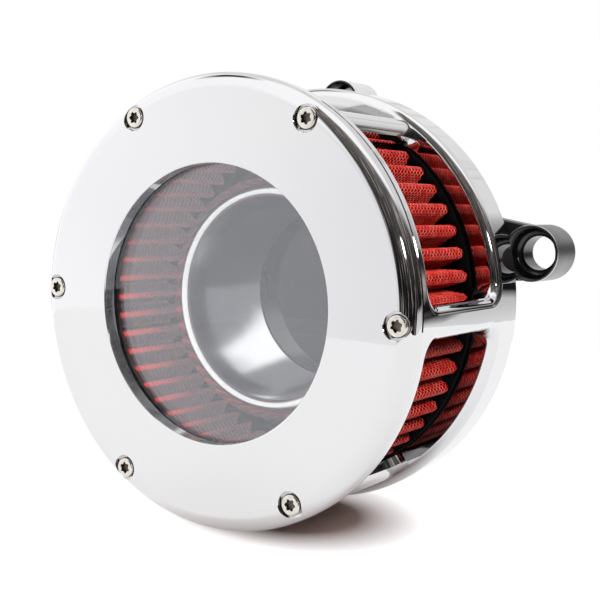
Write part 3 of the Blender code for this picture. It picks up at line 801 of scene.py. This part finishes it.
def relief_mesh():
    """Cuts four webs back to rounded bars. Its ends follow the rounding of the windows' outer edges."""
    wall_r = OUTER_R - WINDOW_ROUND
    rows = []
    for i in range(2 * RELIEF_STEPS + 1):
        angle = RELIEF_HALF * (i / RELIEF_STEPS - 1.0)
        across = min(abs(angle) * WEB_TOP_R, WEB_ROUND)
        bar_r = WEB_TOP_R - WEB_ROUND + math.sqrt(WEB_ROUND**2 - across**2)
        low_r = max(bar_r, WEB_SIDE_R)
        start = math.asin(max(0.0, low_r - wall_r) / WINDOW_ROUND)
        profile = []
        for step in range(ARC_STEPS + 1):
            turn = start + (QUARTER - start) * step / ARC_STEPS
            radius = wall_r + WINDOW_ROUND * math.sin(turn) if step else low_r
            profile.append((radius, WINDOW_ROUND * (1.0 - math.cos(turn)) + RELIEF_PLAY))
        profile[-1] = (OUTER_R + 2.0 * RELIEF_PLAY, profile[-1][1])
        profile.append((OUTER_R + OVERSHOOT, profile[-1][1]))
        row = [on_ring(radius, angle, FLOOR_FRONT + offset) for radius, offset in profile]
        row += [on_ring(radius, angle, WINDOW_FRONT - offset) for radius, offset in reversed(profile)]
        rows.append(row)
    one = grid_mesh("relief", rows, caps=True)
    return copies("reliefs", one, [Matrix.Rotation(-TURN * web / STATIONS, 4, "Y") for web in CUT_BACK_WEBS])


def build_cage(shades):
    cage = boolean(cage_mesh(), "DIFFERENCE", relief_mesh())
    thread_r = COVER_SCREW[2] + GAP
    thread_back = COVER_HEAD_TOP + COVER_SCREW[1] + COVER_SCREW[3] + OVERSHOOT
    hole = [(thread_r, CAGE_FRONT - OVERSHOOT), (thread_r, thread_back)]
    cage = drilled(cage, hole, COVER_SCREW_R, angles_round(STATIONS), SMALL_ROUND // 2)
    hole_r = CAGE_SCREW[2] + GAP
    hole = [(CAGE_RECESS_R, FLOOR_FRONT - OVERSHOOT), (CAGE_RECESS_R, CAGE_RECESS_BACK)]
    hole += [(hole_r, CAGE_RECESS_BACK), (hole_r, CAGE_BACK + OVERSHOOT)]
    cage = drilled(cage, hole, CAGE_SCREW_R, angles_round(STATIONS, SECTOR_HALF))
    add_piece("chrome_cage", cage, shades["chrome"], "engine_side", "filter_housing")


# ---------------------------------------------------------------- element


def pleat_path(flank_steps=4):
    """The sheet's middle line, once round: (point, outward normal) pairs in the plane across the axis."""
    pitch = TURN / PLEATS
    crest_at = CREST_R - CREST_ROUND - MEDIA_THICK / 2.0
    fold_at = FOLD_R + FOLD_ROUND + MEDIA_THICK / 2.0
    crest_centre = Vector((crest_at, 0.0))
    fold_centre = Vector((fold_at * math.cos(pitch / 2.0), fold_at * math.sin(pitch / 2.0)))
    between = fold_centre - crest_centre
    lean = math.asin((CREST_ROUND + FOLD_ROUND) / between.length)
    side = math.atan2(between.y, between.x) - QUARTER + lean
    one = []
    for i in range(ARC_STEPS + 1):
        angle = -side + 2.0 * side * i / ARC_STEPS
        normal = Vector((math.cos(angle), math.sin(angle)))
        one.append((crest_centre + normal * CREST_ROUND, normal))
    start = one[-1][0]
    facing = one[-1][1]
    end = fold_centre - facing * FOLD_ROUND
    for i in range(1, flank_steps):
        one.append((start.lerp(end, i / flank_steps), facing))
    turn = 2.0 * (side - pitch / 2.0)
    for i in range(ARC_STEPS + 1):
        angle = side - turn * i / ARC_STEPS
        normal = Vector((math.cos(angle), math.sin(angle)))
        one.append((fold_centre - normal * FOLD_ROUND, normal))
    last_point, last_normal = one[-1]
    spin = Matrix.Rotation(pitch, 2)
    following = spin @ one[0][0]
    for i in range(1, flank_steps):
        one.append((last_point.lerp(following, i / flank_steps), last_normal))
    path = []
    for first in angles_round(PLEATS, pitch / 2.0):
        turned_by = Matrix.Rotation(first, 2)
        path += [(turned_by @ point, turned_by @ normal) for point, normal in one]
    return path


def media_mesh():
    path = pleat_path()
    rows = []
    half = MEDIA_THICK / 2.0
    for reach, depth in ((half, MEDIA_FRONT), (half, MEDIA_BACK), (-half, MEDIA_BACK), (-half, MEDIA_FRONT)):
        skin = [point + normal * reach for point, normal in path]
        rows.append([(point.x, depth, point.y) for point in skin])
    return grid_mesh("filter_media", rows, close_rows=True)


def evenly(path, per_pleat, reach):
    """Points spaced evenly along each pleat of the path's skin at that reach from its middle line."""
    count = len(path)
    skin = [(point + normal * reach, normal) for point, normal in path]
    lengths = [0.0]
    for i in range(count):
        lengths.append(lengths[-1] + (skin[(i + 1) % count][0] - skin[i][0]).length)
    total = per_pleat * PLEATS
    spaced = []
    i = 0
    for k in range(total):
        goal = lengths[-1] * k / total
        while lengths[i + 1] < goal:
            i += 1
        share = (goal - lengths[i]) / max(lengths[i + 1] - lengths[i], WELD)
        here, facing = skin[i]
        there, facing_there = skin[(i + 1) % count]
        spaced.append((here.lerp(there, share), facing.lerp(facing_there, share).normalized()))
    return spaced


def screen_mesh(reach):
    """A diamond screen over one skin of the sheet: zigzag wires, each the mirror image of the next."""
    nodes = evenly(pleat_path(), HALF_WAVES, reach)
    hoops = int((MEDIA_BACK - MEDIA_FRONT) / WIRE_PITCH) - 1
    first = (MEDIA_FRONT + MEDIA_BACK - (hoops - 1) * WIRE_PITCH) / 2.0
    section = [(WIRE_R * math.cos(angle), WIRE_R * math.sin(angle)) for angle in angles_round(3)]
    count = len(nodes)
    verts = []
    faces = []
    for k in range(hoops):
        start = len(verts)
        for i, (point, normal) in enumerate(nodes):
            wave = 1.0 if (i + k) % 2 else -1.0
            depth = first + (k + WIRE_SWAY * wave) * WIRE_PITCH
            centre = point + normal * WIRE_R * (0.7 + 0.4 * wave)
            for out, along in section:
                verts.append((centre.x + normal.x * out, depth + along, centre.y + normal.y * out))
        for i in range(count):
            j = (i + 1) % count
            for c in range(3):
                d = (c + 1) % 3
                faces.append((start + 3 * i + c, start + 3 * j + c, start + 3 * j + d, start + 3 * i + d))
    return mesh_from("screen", verts, faces, creased=False)


def cap_mesh(inner_r, face, back):
    """A moulded end cap. Between the pleats its potting climbs towards the middle of the element."""
    toward = 1.0 if face > back else -1.0
    climb = toward * POTTING * 1.5
    flat = face - climb * 0.4
    edge = toward * CAP_EDGE
    outline = [(inner_r, back, 0.0), (inner_r, flat - edge, 0.0), (inner_r + CAP_EDGE, flat, 0.0)]
    for inside, share in ((11.0, 0.3), (9.0, 0.8), (5.0, 1.0), (1.5, 1.0), (0.0, 0.55), (-0.8, 0.1)):
        outline.append((CREST_R - inside * MM, flat, share))
    outline += [(CAP_R - CAP_EDGE / 4.0, flat - edge / 2.0, 0.0), (CAP_R, flat - edge, 0.0)]
    outline += [(CAP_R, back + edge, 0.0), (CAP_R - CAP_EDGE, back, 0.0)]
    rows = []
    for radius, depth, share in outline:
        row = []
        for angle in angles_round(PLEATS * CAP_COLUMNS):
            wave = 0.5 + 0.5 * math.cos(angle * PLEATS)
            row.append(on_ring(radius, angle, depth + climb * share * wave**1.5))
        rows.append(row)
    return grid_mesh("cap", rows, close_rows=True)


def build_element(shades):
    gauze = add_piece("red_gauze", media_mesh(), shades["gauze"], "element", "filter_media")
    half = MEDIA_THICK / 2.0
    screen = add_piece("outer_screen", screen_mesh(half), shades["wire"], "element")
    add_piece("inner_screen", screen_mesh(-half - WIRE_R), shades["inner_wire_painted_light"], "element")
    front = cap_mesh(FRONT_CAP_R, FRONT_CAP_BACK + POTTING, FRONT_CAP_FRONT)
    rear = cap_mesh(REAR_CAP_R, REAR_CAP_FRONT - POTTING, REAR_CAP_BACK)
    add_piece("front_end_cap", front, shades["urethane"], "element", "filter_front_cap")
    add_piece("rear_end_cap", rear, shades["urethane"], "element", "filter_rear_cap")
    return gauze, screen


# ---------------------------------------------------------------- velocity stack


def stack_inner_r(depth):
    flare = (STACK_BACK - depth) / (STACK_BACK - LIP_CREST - LIP_ROLL)
    return THROAT_R + (MOUTH_R - THROAT_R) * flare**2


def build_stack(shades):
    """The stack's outline runs up its bore, over the rolled lip, down its outer wall and round its flange."""
    mouth = LIP_CREST + LIP_ROLL
    bore_steps = 3 * ARC_STEPS
    outline = [(THROAT_R + BREAK, STACK_BACK), (stack_inner_r(STACK_BACK - BREAK), STACK_BACK - BREAK)]
    for i in range(1, bore_steps):
        depth = STACK_BACK + (mouth - STACK_BACK) * i / bore_steps
        outline.append((stack_inner_r(depth), depth))
    outline += arc((LIP_CREST_R, mouth), (LIP_CREST_R - MOUTH_R, LIP_ROLL), math.pi)
    outline += arc((LIP_CREST_R, mouth), (LIP_REACH, LIP_ROLL), -QUARTER)[1:]
    flange_front = STACK_BACK - FLANGE_THICK
    under_lip = mouth + STACK_WALL
    wall_steps = 2 * ARC_STEPS
    for i in range(wall_steps + 1):
        depth = under_lip + (flange_front - under_lip) * i / wall_steps
        outline.append((stack_inner_r(depth) + STACK_WALL, depth))
    outline += corner(FLANGE_R, flange_front, BREAK, -QUARTER) + corner(FLANGE_R, STACK_BACK, BREAK, 0.0)
    hole_r = STACK_SCREW[2] + GAP
    hole = [(hole_r, flange_front - OVERSHOOT), (hole_r, STACK_BACK + OVERSHOOT)]
    angles = angles_round(STACK_SCREWS, QUARTER)
    stack = drilled(turned("velocity_stack", outline), hole, STACK_SCREW_R, angles, SMALL_ROUND // 2)
    shade = shades["aluminium"]
    add_piece("polished_stack", stack, shade, "engine_side", "velocity_stack")


# ---------------------------------------------------------------- backplate


def square_groove(radius, face, floor):
    inner = radius - GROOVE_HALF
    outer = radius + GROOVE_HALF
    return [(inner, face), (inner, floor), (outer, floor), (outer, face)]


def plate_mesh():
    edge = 2.0 * BREAK
    steps = 2 * FINE_ARC
    outline = [(BORE_R, PLATE_FRONT + BREAK), (BORE_R + BREAK, PLATE_FRONT)]
    outline += square_groove(INNER_SEAL_R, PLATE_FRONT, PLATE_FRONT + GROOVE_DEEP)
    outline += square_groove(OUTER_SEAL_R, PLATE_FRONT, PLATE_FRONT + GROOVE_DEEP)
    outline += corner(PLATE_R, PLATE_FRONT, edge, -QUARTER, steps)
    outline += corner(PLATE_R, PLATE_BACK, edge, 0.0, steps)
    outline += arc((SEAT_R + edge, PLATE_BACK + edge), (edge, edge), -QUARTER, -QUARTER, steps)
    outline += corner(SEAT_R, SEAT_BACK, BREAK, 0.0)
    outline += square_groove(INNER_SEAL_R, SEAT_BACK, SEAT_BACK - GROOVE_DEEP)[::-1]
    return turned("backplate", outline + [(BORE_R + BREAK, SEAT_BACK), (BORE_R, SEAT_BACK - BREAK)])


def arm_mesh(boss, root):
    boss_point = Vector(polar(*boss[:2]))
    root_point = Vector(polar(*root[:2]))
    along = (boss_point - root_point).normalized()
    across = Vector((-along.y, along.x))
    boss_half = across * boss[2] * ARM_SHARE
    root_half = across * root[2]
    corners = [boss_point + boss_half, root_point + root_half, root_point - root_half, boss_point - boss_half]
    return slab("arm", corners, ARM_FRONT, ARM_BACK, BOSS_EDGE)


def boss_mesh(boss):
    steps = 2 * FINE_ARC
    outline = corner(boss[2], BOSS_FRONT, BOSS_EDGE, -QUARTER, steps)
    outline += corner(boss[2], BOSS_BACK, BOSS_EDGE, 0.0, steps)
    return at_angles("boss", post("boss", outline, 2 * SMALL_ROUND), boss[0], [boss[1]])


def bolt_hole(boss):
    """The wall of a boss's hole: a recess with a dished floor for the bolt's head, then the bore."""
    front = PLATE_FRONT - OVERSHOOT
    recess_r = boss[2] - BOLT_RECESS_WALL
    mouth_r = recess_r + HOLE_EDGE
    dish = DISH_SHARE * (recess_r - BOLT_HOLE_R)
    lip = BREAK / 2.0
    wall = [(mouth_r, front), (mouth_r, BOSS_FRONT), (recess_r, BOSS_FRONT + HOLE_EDGE)]
    wall += arc((recess_r - dish, BOLT_RECESS_BACK - dish), (dish, dish), 0.0)
    wall += arc((BOLT_HOLE_R + lip, BOLT_RECESS_BACK + lip), (lip, lip), -QUARTER, -QUARTER, FINE_ARC)
    exit_r = BOLT_HOLE_R + HOLE_EDGE
    return wall + [(BOLT_HOLE_R, BOSS_BACK - HOLE_EDGE), (exit_r, BOSS_BACK), (exit_r, BOSS_BACK + OVERSHOOT)]


def build_backplate(shades):
    plate = plate_mesh()
    for boss, root in ((SIDE_BOSS, SIDE_ROOT), (TOP_BOSS, TOP_ROOT)):
        plate = boolean(plate, "UNION", arm_mesh(boss, root))
        plate = boolean(plate, "UNION", boss_mesh(boss))
    for boss in (SIDE_BOSS, TOP_BOSS):
        plate = drilled(plate, bolt_hole(boss), boss[0], [boss[1]], SMALL_ROUND, BIT_TWIST)
    for _, screw, radius, angles, head_top in plate_screws():
        thread_r = screw[2] + GAP
        hole = [(thread_r, PLATE_FRONT - OVERSHOOT), (thread_r, head_top + screw[1] + screw[3] + OVERSHOOT)]
        plate = drilled(plate, hole, radius, angles, SMALL_ROUND // 2)
    add_piece("black_backplate", plate, shades["black"], "engine_side", "backplate")


# ---------------------------------------------------------------- screws and seals


def plate_screws():
    """The screws that thread into the backplate: name, size, radius, angles, depth of the head's top."""
    cage_top = CAGE_RECESS_BACK - GAP - CAGE_SCREW[1]
    stack_top = STACK_BACK - FLANGE_THICK - GAP - STACK_SCREW[1]
    return (
        ("housing_screw", CAGE_SCREW, CAGE_SCREW_R, angles_round(STATIONS, SECTOR_HALF), cage_top),
        ("stack_screw", STACK_SCREW, STACK_SCREW_R, angles_round(STACK_SCREWS, QUARTER), stack_top),
    )


def lobed(radius, depth, deepness):
    """One row of points round a six-lobed socket. The deepness is the lobes' share of the radius."""
    row = []
    for angle in angles_round(SMALL_ROUND):
        reach = radius * (1.0 - deepness * (0.5 - 0.5 * math.cos(6.0 * angle)))
        row.append(on_ring(reach, angle, depth))
    return row


def screw_mesh(screw):
    """A button-head screw with a six-lobed socket and a cut thread, with the top of its head at depth 0."""
    head_r, head_high, shank_r, shank_long = screw
    socket_r = head_r * SOCKET_R
    edge = head_r * 0.03
    rows = [lobed(socket_r * 0.25, SOCKET_DEEP + edge * 3.0, 0.0), lobed(socket_r, SOCKET_DEEP, SOCKET_WAIST)]
    rows += [lobed(socket_r, edge, SOCKET_WAIST), lobed(socket_r + edge, 0.0, SOCKET_WAIST * 0.9)]
    crown_r = head_r * CROWN_R
    rows.append(ring(crown_r, 0.0))
    crown = arc((crown_r, head_high / 2.0), (head_r - crown_r, head_high / 2.0), -QUARTER)[1:]
    rows += [ring(radius, depth) for radius, depth in crown]
    rows += [ring(head_r, head_high - edge), ring(head_r - edge, head_high), ring(shank_r, head_high)]
    neck = head_high + NECK_LONG
    rows.append(ring(shank_r, neck))
    tip = head_high + shank_long
    turns = int((tip - neck) / THREAD_PITCH) - 1
    for i in range(turns * THREAD_ROWS + 1):
        depth = neck + THREAD_PITCH * (i / THREAD_ROWS + 0.5)
        row = []
        for angle in angles_round(SMALL_ROUND):
            phase = (depth / THREAD_PITCH - angle / TURN) % 1.0
            cut = THREAD_DEEP * abs(2.0 * phase - 1.0)
            row.append(on_ring(shank_r - cut, angle, depth))
        rows.append(row)
    rows += [ring(shank_r - THREAD_DEEP, tip - TIP_EDGE), ring(shank_r - 2.0 * THREAD_DEEP, tip)]
    return grid_mesh("screw", rows, caps=True)


def build_screws(shades):
    """Each screw stops at a turn of its own, as screws do."""
    cover = ("cover_screw", COVER_SCREW, COVER_SCREW_R, angles_round(STATIONS), COVER_HEAD_TOP)
    for name, screw, radius, angles, head_top in (cover, *plate_screws()):
        mesh = screw_mesh(screw)
        for number, angle in enumerate(angles, start=1):
            node = f"{name}_{number}"
            body = node if name == "cover_screw" else "engine_side"
            own = mesh.copy()
            own.transform(Matrix.Rotation(SCREW_TWIST * number, 4, "Y"))
            place = AXIS + Vector(on_ring(radius, angle, head_top))
            add_piece(node + "_fine", own, shades["stainless"], body, node, place)


def build_seals(shades):
    sink = SEAL_R + GAP / 2.0
    places = (
        ("stack_o_ring", INNER_SEAL_R, PLATE_FRONT + sink),
        ("housing_o_ring", OUTER_SEAL_R, PLATE_FRONT + sink),
        ("throttle_o_ring", INNER_SEAL_R, SEAT_BACK - sink),
    )
    for node, radius, depth in places:
        section = arc((radius, depth), (SEAL_R, SEAL_R), 0.0, TURN, 2 * ARC_STEPS)[:-1]
        add_piece(node + "_fine", turned(node, section), shades["rubber"], "engine_side", node)


# ---------------------------------------------------------------- studio


def build_floor(low_z):
    """A pale sheet under the object. Its contact shadow, cast and also painted, fades out until it is plain
    white to the camera.

    Mirrors see the same shadow, wider. The floor's rear half is dark to what is seen through the lens, and
    all of it is dark to matt surfaces, as if black cards lay there.
    """
    s = Shader("studio_floor")
    seen = s.seen()
    from_spot = s.node("VectorMath", {0: s.place, 1: SHADOW_AT}, operation="DISTANCE").outputs["Value"]
    # The pinkish near tint and the weaker glow round the spot are a painted contact shadow.
    near = s.between(s.noise(300.0, 3.0), (0.72, 0.53, 0.48), (0.74, 0.54, 0.49))
    mirrored = s.between(from_spot, near, (0.84, 0.84, 0.84), *MIRRORED_SHADOW)
    shown = s.between(from_spot, near, (0.84, 0.835, 0.83), 26.0 * MM, SHOWN_SHADOW[1])
    glow_mirrored = s.times(s.math("SUBTRACT", 1.0, seen), s.spread(from_spot, 0.0, 0.72, *MIRRORED_SHADOW))
    glow_shown = s.times(seen, s.spread(from_spot, 0.0, 0.8, *SHOWN_SHADOW))
    rear = s.spread(s.depth(), 0.0, 1.0, 0.0, FLOOR_CARD_EDGE)
    lit = s.math("SUBTRACT", 1.0, s.math("MAXIMUM", s.times(s.behind_lens(), rear), s.soft()))
    s.finish(Base_Color=s.mix(lit, (0.03, 0.03, 0.03), s.mix(seen, mirrored, shown)), Roughness=0.6)
    glow = s.times(s.math("ADD", glow_shown, glow_mirrored), lit)
    s.finish(Emission_Color=(1.0, 1.0, 1.0), Emission_Strength=glow, Specular_IOR_Level=0.1)
    half = FLOOR_HALF
    verts = [(-half, -half, 0.0), (half, -half, 0.0), (half, half, 0.0), (-half, half, 0.0)]
    mesh = bpy.data.meshes.new("floor")
    mesh.from_pydata(verts, [], [(0, 1, 2, 3)])
    mesh.materials.append(s.material)
    floor = bpy.data.objects.new("floor", mesh)
    bpy.context.scene.collection.objects.link(floor)
    floor.location = (AXIS.x, 0.0, low_z)


class Sky(Shader):
    """The same short way of writing nodes, for the world. Angles are given in degrees."""

    def __init__(self):
        world = bpy.data.worlds.new("studio")
        world.use_nodes = True
        bpy.context.scene.world = world
        self.tree = world.node_tree
        self.background = self.tree.nodes["Background"]
        direction = self.tree.nodes.new("ShaderNodeTexCoord").outputs["Generated"]
        x, y, z = self.node("SeparateXYZ", {0: direction}).outputs
        self.azimuth = self.math("ARCTAN2", x, self.times(y, -1.0))
        self.height = self.math("ARCSINE", z)

    def ramp(self, angle, low, high, start, end):
        """A spread over an angle."""
        return self.spread(angle, low, high, math.radians(start), math.radians(end))

    def patch(self, azimuth, half_azimuth, height, half_height, soft):
        """1 inside a patch of the sky and 0 outside it."""
        turned = self.math("SUBTRACT", self.azimuth, math.radians(azimuth))
        away = self.math("WRAP", turned, math.pi, -math.pi)
        up = self.math("SUBTRACT", self.height, math.radians(height))
        across = self.ramp(self.math("ABSOLUTE", away), 1.0, 0.0, half_azimuth - soft, half_azimuth + soft)
        along = self.ramp(self.math("ABSOLUTE", up), 1.0, 0.0, half_height - soft, half_height + soft)
        return self.times(across, along)

    def card(self, patch, shown, colour):
        """What is shown, with a card or a lamp of that colour over a patch of it."""
        return self.mix(self.patch(*patch), shown, colour)

    def grey(self, value):
        return self.mix(value, (0.0, 0.0, 0.0), (1.0, 1.0, 1.0))


def mirrored_room(sky):
    """What mirrors see: a bright room, whose right side is dim and streaky above a pale table and has a lamp.

    Behind, the room is cloudy. Two dark cards hang at the left and the rear left.
    """
    white = sky.mix(sky.ramp(sky.azimuth, 1.0, 0.0, -46.0, -24.0), (1.08, 1.08, 1.09), (1.43, 1.43, 1.44))
    white = sky.mix(sky.ramp(sky.height, 0.0, 1.0, 8.0, 30.0), white, (1.42, 1.42, 1.43))
    stretched = sky.node("CombineXYZ", {0: sky.azimuth, 1: sky.times(sky.height, 0.35), 2: 0.0}).outputs[0]
    inputs = {"Vector": stretched, "Scale": 7.0, "Detail": 3.0, "Roughness": 0.7}
    streaks = sky.node("TexNoise", inputs).outputs[0]
    rear = sky.math("MAXIMUM", sky.patch(*REAR_CLOUDS[0]), sky.patch(*REAR_CLOUDS[1]))
    white = sky.mix(rear, white, sky.grey(sky.spread(streaks, 0.78, 1.3, 0.36, 0.62)))
    rise = sky.ramp(sky.height, 0.0, 0.20, 4.0, 70.0)
    streaky = sky.math("ADD", rise, sky.spread(streaks, 0.0, 0.55, 0.54, 0.66))
    dim = sky.mix(streaky, (0.012, 0.011, 0.011), (1.0, 0.93, 0.87))
    top = sky.math("MULTIPLY_ADD", sky.azimuth, DIM_SLOPE, math.radians(DIM_TOP))
    below_top = sky.spread(sky.math("SUBTRACT", sky.height, top), 1.0, 0.0, -0.10, 0.10)
    table_edge = sky.ramp(sky.azimuth, math.radians(-20.0), math.radians(-1.0), 92.0, 104.0)
    off_dip = sky.math("ABSOLUTE", sky.math("SUBTRACT", sky.azimuth, math.radians(TABLE_DIP_AT)))
    table_edge = sky.math("SUBTRACT", table_edge, sky.ramp(off_dip, math.radians(TABLE_DIP), 0.0, 2.5, 4.5))
    above_table = sky.spread(sky.math("SUBTRACT", sky.height, table_edge), 0.0, 1.0, -0.02, 0.02)
    table = sky.grey(sky.ramp(sky.height, 1.05, 0.66, -9.0, -1.0))
    colour = sky.card(DIM_SIDE, white, sky.mix(above_table, table, sky.mix(below_top, white, dim)))
    colour = sky.card(LEFT_CARD, colour, (0.06, 0.06, 0.065))
    colour = sky.card(LAMP, colour, (16.0, 15.0, 14.0))
    return sky.card(REAR_LEFT_CARD, colour, (0.04, 0.04, 0.045))


def room_behind_lens(sky):
    """What shows through the lens: grey, dark low at the rear left, and bright at the right, rear and top."""
    colour = sky.card(LENS_DARK, (0.19, 0.192, 0.20), (0.03, 0.03, 0.033))
    colour = sky.card(LENS_REAR, colour, (1.3, 1.3, 1.3))
    colour = sky.card(LENS_RIGHT, colour, (1.43, 1.43, 1.43))
    return sky.mix(sky.ramp(sky.height, 0.0, 0.8, 48.0, 62.0), colour, (1.4, 1.4, 1.4))


def build_studio():
    """White to the camera, soft light from above to matt surfaces, and rooms for mirrors and the lens."""
    sky = Sky()
    colour = sky.mix(sky.behind_lens(), mirrored_room(sky), room_behind_lens(sky))
    overhead = sky.grey(sky.ramp(sky.height, 0.0, 1.15, 12.0, 70.0))
    colour = sky.mix(sky.soft(), colour, overhead)
    sky.feed(sky.background.inputs[0], sky.mix(sky.seen(), colour, (1.0, 1.0, 1.0)))


def build_fill(lit):
    """A soft light from the upper right that reaches only the given pieces. Mirrors don't show it."""
    data = bpy.data.lights.new("fill", "AREA")
    data.shape = "DISK"
    data.size = FILL_WIDE
    data.energy = FILL_POWER
    data.color = (1.0, 0.96, 0.92)
    fill = bpy.data.objects.new("fill", data)
    bpy.context.scene.collection.objects.link(fill)
    away = Vector((math.sin(FILL_AZIMUTH), -math.cos(FILL_AZIMUTH), math.tan(FILL_ELEVATION))).normalized()
    fill.location = AXIS + away * FILL_FAR
    fill.rotation_euler = away.to_track_quat("Z", "Y").to_euler()
    fill.visible_glossy = False
    receivers = bpy.data.collections.new("fill_receivers")
    for piece in lit:
        receivers.objects.link(piece)
    fill.light_linking.receiver_collection = receivers


def build_camera():
    """The camera stands to the right of the filter, a little above its middle, and leans with the filter."""
    right = Vector((math.cos(CAMERA_AZIMUTH), math.sin(CAMERA_AZIMUTH), 0.0))
    level = math.cos(CAMERA_ELEVATION)
    back = Vector((right.y * level, -right.x * level, math.sin(CAMERA_ELEVATION)))
    up = back.cross(right)
    lean = Matrix.Rotation(-CAMERA_ROLL, 3, "Y")
    place = lean @ (right * CAMERA_LEFT + up * CAMERA_LOW + back * CAMERA_FAR)
    turn = Matrix((lean @ right, lean @ up, lean @ back)).transposed()
    data = bpy.data.cameras.new("camera")
    data.sensor_width = SENSOR
    data.lens = FOCAL
    data.clip_start = 0.01
    camera = bpy.data.objects.new("camera", data)
    bpy.context.scene.collection.objects.link(camera)
    camera.matrix_world = Matrix.Translation(AXIS + place) @ turn.to_4x4()
    bpy.context.scene.camera = camera


def main():
    shades = {
        "chrome": chrome_shader(),
        "lens": lens_shader(),
        "aluminium": aluminium_shader(),
        "rubber": rubber_shader("black_rubber", (0.010, 0.010, 0.010), 0.38, 0.55, 0.3),
        "urethane": rubber_shader("black_urethane", (0.004, 0.004, 0.0045), 0.45, 0.7, 0.06),
        "black": black_shader(),
        "stainless": stainless_shader(),
        "spring": spring_shader(),
        "gauze": gauze_shader(),
        "wire": wire_shader("oiled_wire", (0.80, 0.030, 0.022), (0.95, 0.13, 0.10)),
        # The inner screen's light pink is painted light, for the light that comes through the gauze.
        "inner_wire_painted_light": wire_shader("inner_wire_painted_light", (0.60, 0.46, 0.46), (0.75, 0.62, 0.62)),
    }
    build_cover(shades)
    build_cage(shades)
    pleats = build_element(shades)
    build_stack(shades)
    build_backplate(shades)
    build_screws(shades)
    build_seals(shades)
    build_floor(cad_box[0][2])
    build_studio()
    build_fill(pleats)
    build_camera()
    bpy.context.scene.view_settings.view_transform = "Standard"


main()
